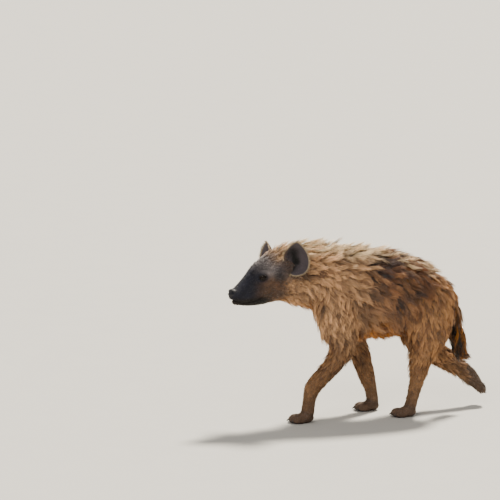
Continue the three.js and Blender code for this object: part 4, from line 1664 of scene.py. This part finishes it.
class Value:
    """A socket in shader maths: operators add the nodes."""

    def __init__(self, shader: Shader, socket: Any) -> None:
        """Holds a socket and the shader that it belongs to."""
        self.shader = shader
        self.socket = socket

    def _math(self, operation: str, *others: Any) -> Value:
        """The result of a Math node.

        Args:
            operation: What it does.
            others: Its further inputs.

        Returns:
            Its output.
        """
        sockets = dict(enumerate((self, *others)))
        return self.shader.node("ShaderNodeMath", {"operation": operation}, sockets)

    def __add__(self, other: Any) -> Value:
        """The sum."""
        return self._math("ADD", other)

    __radd__ = __add__

    def __mul__(self, other: Any) -> Value:
        """The product."""
        return self._math("MULTIPLY", other)

    __rmul__ = __mul__

    def __sub__(self, other: Any) -> Value:
        """The difference."""
        return self._math("SUBTRACT", other)

    def __rsub__(self, other: Any) -> Value:
        """The difference, from a number."""
        return self.shader.node("ShaderNodeMath", {"operation": "SUBTRACT"}, {0: other, 1: self})


class Shader:
    """A material and the nodes that feed its principled shader."""

    def __init__(self, name: str, **constants: Any) -> None:
        """Makes the material.

        Args:
            name: Its name.
            constants: Values of the principled shader that are the same all over.
        """
        self.material = bpy.data.materials.new(name)
        self.material.use_nodes = True
        self.nodes = self.material.node_tree.nodes
        self.links = self.material.node_tree.links
        self.surface = next(n for n in self.nodes if n.type == "BSDF_PRINCIPLED")
        for key, value in constants.items():
            self.surface.inputs[key.replace("_", " ").title().replace("Ior", "IOR")].default_value = value

    def node(self, kind: str, settings: dict[str, Any], sockets: dict[Any, Any], output: Any = 0) -> Value:
        """Adds a node.

        Args:
            kind: Its type.
            settings: What is set on it before its sockets.
            sockets: Numbers, rows or outputs for its inputs.
            output: Which output to return.

        Returns:
            That output.
        """
        made = self.nodes.new(kind)
        for key, value in settings.items():
            setattr(made, key, value)
        for key, value in sockets.items():
            if isinstance(value, Value):
                self.links.new(value.socket, made.inputs[key])
            else:
                made.inputs[key].default_value = value
        return Value(self, made.outputs[output])

    def attribute(self, name: str, output: str = "Color") -> Value:
        """A named attribute of the mesh."""
        return self.node("ShaderNodeAttribute", {"attribute_name": name}, {}, output)

    def noise(self, scale: float, detail: float = 3.0, place: Value | None = None) -> Value:
        """A noise between 0 and 1, over the object's own coordinates."""
        place = place or self.node("ShaderNodeTexCoord", {}, {}, "Object")
        sockets = {"Vector": place, "Scale": scale, "Detail": detail}
        return self.node("ShaderNodeTexNoise", {}, sockets)

    def blend(self, share: Any, a: Any, b: Any, kind: str = "MIX") -> Value:
        """Two colours mixed.

        Args:
            share: How much of the second.
            a: The first colour.
            b: The second.
            kind: The way of mixing.

        Returns:
            The colour.
        """
        settings = {"data_type": "RGBA", "blend_type": kind, "clamp_factor": True}
        return self.node("ShaderNodeMix", settings, {0: share, 6: a, 7: b}, 2)

    def scaled(self, colour: Value, factor: Any) -> Value:
        """A colour made lighter or darker by a factor."""
        return self.node("ShaderNodeVectorMath", {"operation": "SCALE"}, {0: colour, "Scale": factor})

    def feed(self, name: str, value: Value) -> None:
        """Links a value to the principled shader."""
        self.links.new(value.socket, self.surface.inputs[name])

    def bump(self, height: Value, strength: float, distance: float) -> None:
        """Feeds the normal from a height.

        Args:
            height: The height.
            strength: How strong it is.
            distance: Its depth in metres.
        """
        sockets = {"Height": height, "Strength": strength, "Distance": distance}
        self.feed("Normal", self.node("ShaderNodeBump", {}, sockets))


@dataclass(frozen=True)
class HairFinish:
    """Hair: the tone at its root, with painted shade that makes it darker deep in the coat and lighter at the
    tips.
    """

    name: str = "hair"
    # Painted shade: the share of the tone left at the root of each tuft, deep in the coat.
    root: float = 0.25
    vary: float = 0.36
    roughness: float = 0.62

    def material(self) -> bpy.types.Material:
        """Makes the material.

        Returns:
            The material.
        """
        s = Shader(self.name, roughness=self.roughness, sheen_weight=0.12, sheen_roughness=0.45)
        s.surface.inputs["Specular IOR Level"].default_value = 0.2
        strand = s.attribute("strand", "Vector")
        parts = self._parts(s, strand)
        along, own, lock = parts
        # Painted shade from the dark root to the full tone at the tip, times tone that differs at random by
        # tuft and by lock.
        shade = self.root + (1 - self.root) * along
        shade = shade * (1.06 - self.vary * own) * (1.06 - 1.4 * self.vary * lock)
        s.feed("Base Color", s.scaled(s.attribute("tone"), shade))
        return s.material

    @staticmethod
    def _parts(s: Shader, vector: Value) -> tuple[Value, Value, Value]:
        """The three parts of a vector."""
        first = s.node("ShaderNodeSeparateXYZ", {}, {0: vector})
        outputs = first.socket.node.outputs
        return tuple(Value(s, outputs[i]) for i in range(3))


@dataclass(frozen=True)
class SkinFinish:
    """Skin under the coat, with short flat hair drawn as bump."""

    name: str = "short_hair"
    shade: float = 0.42
    roughness: float = 0.7

    def material(self) -> bpy.types.Material:
        """Makes the material.

        Returns:
            The material.
        """
        s = Shader(self.name, roughness=self.roughness)
        s.surface.inputs["Specular IOR Level"].default_value = 0.2
        fine = s.noise(420.0, 3.0)
        s.feed("Base Color", s.scaled(s.attribute("tone"), self.shade * (0.75 + 0.5 * fine)))
        s.bump(fine, 0.5, 0.0012)
        return s.material


@dataclass(frozen=True)
class PlainFinish:
    """One colour with a fine grain: nose, eye, claw and floor."""

    name: str
    colour: Colour
    roughness: float = 0.4
    grain: float = 300.0
    depth: float = 0.0004
    shine: float = 0.35
    vary: float = 0.3

    def material(self) -> bpy.types.Material:
        """Makes the material.

        Returns:
            The material.
        """
        s = Shader(self.name, roughness=self.roughness)
        s.surface.inputs["Specular IOR Level"].default_value = self.shine
        grain = s.noise(self.grain, 3.0)
        dark = tuple(c * (1 - self.vary) for c in self.colour) + (1.0,)
        s.feed("Base Color", s.blend(grain, dark, tuple(self.colour) + (1.0,)))
        if self.depth:
            s.bump(grain, 0.6, self.depth)
        return s.material


@dataclass
class Atlas:
    """Where each form lies on the unwrap that the skin and its coat share."""

    tiles: dict[str, tuple[float, float, float, float]] = field(
        default_factory=lambda: {
            "torso": (0.01, 0.01, 0.59, 0.41),
            "neck": (0.01, 0.43, 0.40, 0.60),
            "head": (0.01, 0.62, 0.59, 0.99),
            "tail": (0.42, 0.43, 0.59, 0.60),
            "fore_left": (0.61, 0.01, 0.79, 0.31),
            "fore_right": (0.81, 0.01, 0.99, 0.31),
            "hind_left": (0.61, 0.33, 0.79, 0.66),
            "hind_right": (0.81, 0.33, 0.99, 0.66),
            "fore_left_paw": (0.61, 0.68, 0.69, 0.82),
            "fore_right_paw": (0.71, 0.68, 0.79, 0.82),
            "hind_left_paw": (0.81, 0.68, 0.89, 0.82),
            "hind_right_paw": (0.91, 0.68, 0.99, 0.82),
        }
    )
    patch: float = 0.003

    def place(self, anatomy: Anatomy, points: Array, corners: int) -> Array:
        """The places of a mesh's corners on the unwrap.

        Args:
            anatomy: The body's forms.
            points: Plan points, with the corners of each face together.
            corners: How many corners a face has.

        Returns:
            The places, one row for each point.
        """
        share, angle, depth = anatomy.read(points)
        faces = len(points) // corners
        own = depth.reshape(len(depth), faces, corners).sum(2).argmin(0).repeat(corners)
        pick = np.arange(len(points))
        turn = angle[own, pick].reshape(faces, corners)
        turn += 2 * np.pi * np.round((turn[:, :1] - turn) / (2 * np.pi))
        across = np.clip(turn.ravel() / (2 * np.pi) + 0.5, 0.0, 1.0)
        along = np.clip(share[own, pick], 0.0, 1.0)
        tiles = np.array([self.tiles[name] for name in anatomy.forms])[own]
        return np.stack([mix(tiles[:, 0], tiles[:, 2], across), mix(tiles[:, 1], tiles[:, 3], along)], 1)


def mesh_object(
    name: str,
    points: Array,
    faces: Any,
    frame: PlanFrame,
    material: bpy.types.Material,
    colours: dict[str, Array] | None = None,
) -> bpy.types.Object:
    """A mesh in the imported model's frame.

    Args:
        name: Its name.
        points: Plan points.
        faces: Triangles as an array, or faces as tuples.
        frame: The change of frame.
        material: Its material.
        colours: Named rows of three numbers for each point.

    Returns:
        The object, linked and smooth.
    """
    mesh = bpy.data.meshes.new(name)
    placed = frame.metres(points)
    if isinstance(faces, np.ndarray):
        mesh.vertices.add(len(placed))
        mesh.vertices.foreach_set("co", placed.astype(np.float32).ravel())
        mesh.loops.add(faces.size)
        mesh.loops.foreach_set("vertex_index", faces.astype(np.int32).ravel())
        mesh.polygons.add(len(faces))
        mesh.polygons.foreach_set("loop_start", np.arange(0, faces.size, faces.shape[1], dtype=np.int32))
        mesh.update(calc_edges=True)
    else:
        mesh.from_pydata(placed.tolist(), [], faces)
    mesh.polygons.foreach_set("use_smooth", np.ones(len(mesh.polygons), bool))
    for key, rows in (colours or {}).items():
        data = np.column_stack([rows, np.ones(len(rows))]).astype(np.float32)
        mesh.color_attributes.new(key, "FLOAT_COLOR", "POINT").data.foreach_set("color", data.ravel())
    mesh.materials.append(material)
    made = bpy.data.objects.new(name, mesh)
    bpy.context.scene.collection.objects.link(made)
    return made


def lay_map(piece: bpy.types.Object, places: Array) -> None:
    """Gives a piece its map for baking.

    Args:
        piece: The piece.
        places: One row for each corner of its faces.
    """
    layer = piece.data.uv_layers.new(name=BAKE_MAP)
    layer.data.foreach_set("uv", places.astype(np.float32).ravel())


class Dresser:
    """Makes every piece that the render shows."""

    coat_limit = 190_000

    def __init__(self, frame: PlanFrame) -> None:
        """Makes the skin, its markings and the hair's finish.

        Args:
            frame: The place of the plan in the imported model.
        """
        self.frame = frame
        self.atlas = Atlas()
        self.anatomy = Anatomy()
        self.seats = EYES
        self.skin = Skin(self.anatomy, self.seats, Mouth())
        self.markings = Markings(self.skin, Palette())
        self.hair = HairFinish().material()

    def attach(self, piece: bpy.types.Object, slot: Slot, *nodes: str) -> bpy.types.Object:
        """Lets a piece ride on the body, in place of some of the solids.

        Args:
            piece: The piece.
            slot: The record's slot; not used.
            nodes: The solids that it stands for.

        Returns:
            The piece.
        """
        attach(piece, BODY)
        log.info("%s: %d faces", piece.name, len(piece.data.polygons))
        if nodes:
            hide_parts(*nodes)
        return piece

    def dress_skin(self) -> None:
        """Adds the skin."""
        net = self.skin.net
        faces = [tuple(p.vertices) for p in net.mesh.polygons]
        quads = np.array([f for f in faces if len(f) == 4])
        triangles = np.array([f for f in faces if len(f) == 3]).reshape(-1, 3)
        both = np.concatenate([quads[:, [0, 1, 2]], quads[:, [0, 2, 3]], triangles])
        tone = {"tone": self.markings.tone}
        piece = mesh_object("skin", net.points, both, self.frame, SkinFinish().material(), tone)
        lay_map(piece, self.atlas.place(self.anatomy, net.points[both.ravel()], 3))
        legs = [f"{end}_{side.word}" for end in ("fore", "hind") for side in Side]
        nodes = ["head", "neck", "torso", "tail_root", "tail_tuft"]
        for leg in legs:
            parts = ("upper", "forearm") if leg.startswith("fore") else ("thigh", "shank", "foot")
            nodes += [f"{leg}_{part}" for part in (*parts, "paw")]
        self.attach(piece, Slot.COAT, *nodes)

    def dress_coat(self) -> None:
        """Adds the coat, in pieces by region."""
        growth = Growth.of(self.skin)
        coat = Coat(self.skin, growth)
        depth = self.anatomy.read(coat.base)[2]
        own = depth.argmin(0)
        names = list(self.anatomy.forms)
        regions: dict[str, tuple[Slot, Array]] = {}
        for i, name in enumerate(names):
            chosen = np.flatnonzero(own == i)
            if name == "torso":
                regions["coat_front"] = (Slot.COAT, chosen[coat.base[chosen, 0] < -60])
                regions["coat_middle"] = (
                    Slot.COAT,
                    chosen[(coat.base[chosen, 0] >= -60) & (coat.base[chosen, 0] < 100)],
                )
                regions["coat_rear"] = (Slot.COAT, chosen[coat.base[chosen, 0] >= 100])
            elif name in ("neck", "head", "tail"):
                slot = {"neck": Slot.MANE, "head": Slot.FACE, "tail": Slot.TAIL}[name]
                regions[f"coat_{name}"] = (slot, chosen)
            else:
                key = "coat_" + "_".join(name.split("_")[:2])
                before = regions.get(key, (Slot.LEG, np.zeros(0, int)))[1]
                regions[key] = (Slot.LEG, np.concatenate([before, chosen]))
        total = 0
        for name, (slot, chosen) in regions.items():
            triangles = np.where(coat.length[chosen] < 22, 10, 22).sum()
            parts = max(1, math.ceil(triangles / self.coat_limit))
            for k, part in enumerate(np.array_split(chosen, parts)):
                total += self._coat_piece(coat, f"{name}_{k + 1}" if parts > 1 else name, slot, part)
        log.info("coat: %d triangles", total)

    def _coat_piece(self, coat: Coat, name: str, slot: Slot, chosen: Array) -> int:
        """Adds one piece of the coat.

        Args:
            coat: The coat.
            name: The piece's name.
            slot: The record's slot.
            chosen: Its tufts.

        Returns:
            How many triangles it has.
        """
        tone = mix(coat.tone(self.markings.tone, False), coat.tone(self.markings.tone, True), 0.6)[chosen]
        lock = coat.lock_random[chosen]
        streak = smoothstep(0.8, 0.86, lock) * smoothstep(24, 45, coat.length[chosen]) * 0.55
        tone = tone * mix(np.ones((1, 3)), np.array([[0.42, 0.33, 0.27]]), streak[:, None])
        root = self.atlas.place(self.anatomy, coat.base[chosen], 1)
        own = np.stack([coat.random[chosen], coat.lock_random[chosen]], 1)
        short = coat.length[chosen] < 22
        parts = []
        for part, stations in ((short, [0, 2, 4]), (~short, [0, 1, 2, 3, 4])):
            pick = chosen[part]
            blades = Blades(coat.paths[pick][:, stations], coat.normal[pick], coat.width[pick])
            parts.append((blades, tone[part], root[part], own[part]))
        piece, made = self.hair_piece(name, parts)
        self.attach(piece, slot)
        return made

    def hair_piece(
        self, name: str, parts: Sequence[tuple[Blades, Array, Array, Array]]
    ) -> tuple[bpy.types.Object, int]:
        """Joins blades into one piece, each with its tone and its patch on the map.

        Args:
            name: The piece's name.
            parts: Blades, with the tone, the place on the map and two random shares of each.

        Returns:
            The piece, and how many triangles it has.
        """
        points, faces, tones, strands, places = [], [], [], [], []
        count = 0
        for blades, tone, root, own in parts:
            if not len(blades.paths):
                continue
            grid, triangles, blade, along = blades.mesh()
            grid[:, 2] = np.maximum(grid[:, 2], 0.6)
            across = np.tile(np.arange(3), len(grid) // 3 + 1)[: len(grid)] / 2
            patch = np.stack([across, along], 1) - 0.5
            points.append(grid)
            faces.append(triangles + count)
            tones.append(tone[blade])
            strands.append(np.column_stack([along, own[blade]]))
            places.append((root[blade] + patch * self.atlas.patch)[triangles.ravel()])
            count += len(grid)
        every = np.concatenate(faces)
        colours = {"tone": np.concatenate(tones), "strand": np.concatenate(strands)}
        piece = mesh_object(name, np.concatenate(points), every, self.frame, self.hair, colours)
        lay_map(piece, np.clip(np.concatenate(places), 0.0, 1.0))
        return piece, len(every)

    def dress_eyes(self) -> None:
        """Adds the eyeballs."""
        finish = PlainFinish("eye", (0.007, 0.0035, 0.002), roughness=0.2, depth=0.0, shine=0.15)
        material = finish.material()
        for seat in self.seats:
            axes = np.stack([seat.across, np.array([0.0, 0.0, 1.0]), seat.gaze])
            points, faces = ball(seat.middle, np.full(3, seat.radius), axes)
            piece = mesh_object(f"eyeball_{seat.side.word}", points, faces, self.frame, material)
            self.attach(piece, Slot.EYE, f"eye_{seat.side.word}")

    def dress_nose(self) -> None:
        """Adds the nose pad."""
        tilt = -0.2
        axes = np.stack([HEAD.back, HEAD.left, np.array([0.0, 0.0, 1.0])])
        points, faces = ball(np.zeros(3), np.ones(3), axes, 96, 64)
        local = points @ axes.T
        local = np.sign(local) * np.abs(local) ** 0.86
        b, s, h = (local * np.array([17.0, 20.5, 14.5])).T
        h = np.where(h < 0, h * (1 + 0.55 * np.exp(-((s / 7.0) ** 2))), h)
        for side in Side:
            gap = np.hypot((s - side.value * 10.5) / 6.2, (h - 1.0) / 4.6)
            slit = np.hypot((s - side.value * 17.0) / 6.0, (h + 2.5) / 2.2)
            pit = np.exp(-(gap**3)) * 9.0 + np.exp(-(slit**3)) * 4.0
            b = b + np.where(b < 4, pit, 0.0)
        groove = np.exp(-((s / 1.3) ** 2)) * smoothstep(4, -6, h) * (b < 0)
        b = b + 1.8 * groove
        c, k = math.cos(tilt), math.sin(tilt)
        placed = HEAD.place(15 + b * c - h * k, s, 489.5 + b * k + h * c)
        finish = PlainFinish("nose_skin", (0.024, 0.024, 0.030), 0.6, 620.0, 0.0009, 0.18, 0.5)
        piece = mesh_object("nose_pad", placed, faces, self.frame, finish.material())
        self.attach(piece, Slot.NOSE, "nose")

    def dress_ears(self) -> None:
        """Adds the ears and the hair on them."""
        material = SkinFinish("ear_skin", 0.6).material()
        for ear in EARS:
            points, faces, facts = ear.shell()
            word = ear.side.word
            tone = self._ear_tone(facts)
            piece = mesh_object(f"ear_dish_{word}", points, faces, self.frame, material, {"tone": tone})
            lay_map(piece, self._ear_map(facts)[faces.ravel()])
            self.attach(piece, Slot.EAR, f"ear_{word}")
            self._ear_hair(ear, points, faces, facts, tone)

    @staticmethod
    def _ear_map(facts: Array) -> Array:
        """Places on the map from facts of the ear's points: the two faces lie side by side."""
        r, angle, behind = facts[:, 0], facts[:, 3], facts[:, 2]
        return np.stack([0.25 + 0.5 * behind + 0.22 * r * np.cos(angle), 0.5 + 0.45 * r * np.sin(angle)], 1)

    @staticmethod
    def _ear_tone(facts: Array) -> Array:
        """The tone of an ear: pale at the rim, and painted shade that darkens the hollow.

        Args:
            facts: The facts of its points.

        Returns:
            Linear red, green and blue of each point.
        """
        palette = Palette()
        r, high, behind, angle = facts.T
        tone = np.repeat(np.array(palette.ear)[None], len(r), 0)
        rear = np.array(palette.cheek) * 1.3
        tone = mix(tone, rear[None], behind[:, None])
        up = 48 + (high * 124 - 48) * r
        # Painted shade: the front face darkens towards its deepest place and along a channel up its middle.
        middle = np.exp(-(((r * np.cos(angle) * 50 + 5) / 15) ** 2))
        slit = middle * smoothstep(4, 24, up) * smoothstep(112, 84, up)
        deep = np.maximum(slit, smoothstep(0.45, 0.15, r)) * (1 - behind)
        tone = mix(tone, np.array(palette.hollow)[None], deep[:, None])
        return mix(tone, np.array(palette.cream)[None] * 0.9, (smoothstep(0.93, 0.99, r) * 0.9)[:, None])

    def _ear_hair(self, ear: Ear, points: Array, faces: Array, facts: Array, tone: Array) -> None:
        """Adds short hair over an ear, a pale fringe at its rim and long hair at its inner edge.

        Args:
            ear: The ear.
            points: The points of its dish.
            faces: The triangles of its dish.
            facts: The facts of its points.
            tone: Their tone.
        """
        rng = np.random.default_rng(97 + ear.side.value)
        a, b, c = (points[faces[:, i]] for i in range(3))
        cross = np.cross(b - a, c - a)
        area = np.linalg.norm(cross, axis=1) / 2
        spacing = 2.6
        total = int(area.sum() / spacing**2)
        pick = np.searchsorted(np.cumsum(area) / area.sum(), rng.uniform(size=total)).clip(0, len(area) - 1)
        share = rng.dirichlet((1, 1, 1), total)[..., None]
        base, fact, colour = ((rows[faces[pick]] * share).sum(1) for rows in (points, facts, tone))
        normal = unit(cross[pick])
        middle = ear.place(np.zeros(1), ear.rim(1), np.zeros(1))[0]
        out = unit(base - middle)
        rim = smoothstep(0.9, 1.0, fact[:, 0])
        inner = smoothstep(0.2, 0.9, -np.cos(fact[:, 3])) * (1 - fact[:, 2])
        inner = inner * smoothstep(0.45, 0.8, fact[:, 0])
        up = mix(out, np.array([0, 0, 1.0]) + 0.5 * ear.outward, 0.5) + inner[:, None] * 2.0 * ear.outward
        way = unit(up - normal * (up * normal).sum(1)[:, None] + rng.normal(size=(total, 3)) * 0.14)
        way = unit(way + normal * (0.10 + 0.30 * inner)[:, None] + out * rim[:, None] * 0.8)
        length = (4.0 + 4.5 * rim + 7.0 * inner + 2.0 * fact[:, 2]) * rng.uniform(0.7, 1.2, total)
        stations = np.array([-0.15, 0.5, 1.0])[None, :, None]
        paths = base[:, None] + way[:, None] * stations * length[:, None, None]
        edge = inner * smoothstep(0.8, 0.95, fact[:, 0])
        colour = mix(colour, np.array(Palette().sand)[None], (edge * 0.6)[:, None])
        blades = Blades(paths, normal, np.full(total, 0.9) + 0.3 * rim)
        root = self._ear_map(fact)
        own = rng.uniform(size=(total, 2))
        piece, made = self.hair_piece(f"ear_hair_{ear.side.word}", [(blades, colour, root, own)])
        self.attach(piece, Slot.EAR)
        log.info("ear hair: %d triangles", made)

    def dress_claws(self) -> None:
        """Adds the claws, in one piece for each paw."""
        material = PlainFinish("claw", (0.035, 0.028, 0.022), roughness=0.35, grain=260.0).material()
        sides, length, thick, blunt = 10, 19, 3.4, 0.25
        angle = np.arange(sides) / sides * 2 * np.pi
        for name, paw in self.anatomy.paws.items():
            points, faces = [], []
            for place in (-1.5, -0.5, 0.5, 1.5):
                start = paw.toe(place) + paw.ahead * 15 - paw.under
                count = sum(len(p) for p in points)
                rings = []
                for share in np.linspace(0, 1, 8):
                    bend = 0.25 + 0.75 * share
                    at = start + (paw.ahead * 0.93 + paw.under * (0.12 + 0.28 * share)) * share * length
                    up = -paw.under * math.cos(bend) + paw.ahead * math.sin(bend)
                    r = thick * (1 - share) ** 0.7 + blunt
                    across = np.array([0.0, 1.0, 0.0])
                    round_it = 0.75 * np.cos(angle)[:, None] * across + np.sin(angle)[:, None] * up
                    rings.append(at + r * round_it)
                grid, own = tube(np.stack(rings))
                if not paw.lifted:
                    grid[:, 2] = np.maximum(grid[:, 2], 0.4)
                points.append(grid)
                faces += [tuple(i + count for i in face) for face in own]
            piece = mesh_object(f"claws_{name}", np.concatenate(points), faces, self.frame, material)
            self.attach(piece, Slot.LEG)


@dataclass(frozen=True)
class Studio:
    """The camera, the lights and the floor."""

    azimuth: float = -16.0
    elevation: float = 8.0
    distance: float = 12.0
    width: float = 1.818
    aim: tuple[float, float, float] = (-472.8, 0.0, 631.6)

    def camera(self, frame: PlanFrame) -> None:
        """Adds the camera, from the photo's own direction.

        Args:
            frame: The change of frame.
        """
        data = bpy.data.cameras.new("camera")
        data.lens = data.sensor_width * self.distance / self.width
        data.clip_end = 300.0
        camera = bpy.data.objects.new("camera", data)
        a, e = math.radians(self.azimuth), math.radians(self.elevation)
        back = Vector((math.sin(a) * math.cos(e), -math.cos(a) * math.cos(e), math.sin(e)))
        camera.location = Vector(frame.metres(np.array(self.aim))) + back * self.distance
        camera.rotation_euler = back.to_track_quat("Z", "Y").to_euler()
        bpy.context.scene.collection.objects.link(camera)
        bpy.context.scene.camera = camera

    def sun(self, name: str, place: Sequence[float], soft: float, strength: float, colour: Any) -> None:
        """Adds a far light.

        Args:
            name: Its name.
            place: The way towards it.
            soft: How wide it is, in degrees.
            strength: Its strength.
            colour: Its colour.
        """
        data = bpy.data.lights.new(name, "SUN")
        data.angle, data.energy, data.color = math.radians(soft), strength, colour
        lamp = bpy.data.objects.new(name, data)
        lamp.rotation_euler = Vector(place).to_track_quat("Z", "Y").to_euler()
        bpy.context.scene.collection.objects.link(lamp)

    def build(self) -> None:
        """Adds the lights, the background and the floor."""
        self.sun("rim", (0.45, 0.55, 1.0), 10.0, 11.0, (1.0, 0.92, 0.78))
        self.sun("key", (-0.75, -1.0, 0.95), 24.0, 1.55, (1.0, 0.95, 0.87))
        world = bpy.data.worlds.new("studio")
        world.use_nodes = True
        world.node_tree.nodes["Background"].inputs[0].default_value = (0.86, 0.84, 0.80, 1)
        world.node_tree.nodes["Background"].inputs[1].default_value = 0.66
        bpy.context.scene.world = world
        mesh = bpy.data.meshes.new("floor")
        r = 70.0
        mesh.from_pydata([(-r, -r, 0), (r, -r, 0), (r, r, 0), (-r, r, 0)], [], [(0, 1, 2, 3)])
        mesh.materials.append(PlainFinish("floor", (0.47, 0.46, 0.435), 0.8, 6.0, 0.0, vary=0.05).material())
        floor = bpy.data.objects.new("floor", mesh)
        bpy.context.scene.collection.objects.link(floor)


def main() -> None:
    """Builds the scene in order."""
    logging.basicConfig(level=logging.INFO, format="%(message)s")
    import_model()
    low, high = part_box("eye_left")
    shift = (np.array(low) + np.array(high)) / 2 - EyeSeat(Side.LEFT).middle / 1000.0
    shift[2] = 0.0
    frame = PlanFrame(shift)
    studio = Studio()
    studio.camera(frame)
    dresser = Dresser(frame)
    dresser.dress_skin()
    dresser.dress_coat()
    dresser.dress_eyes()
    dresser.dress_nose()
    dresser.dress_ears()
    dresser.dress_claws()
    studio.build()


if __name__ == "__main__":
    main()
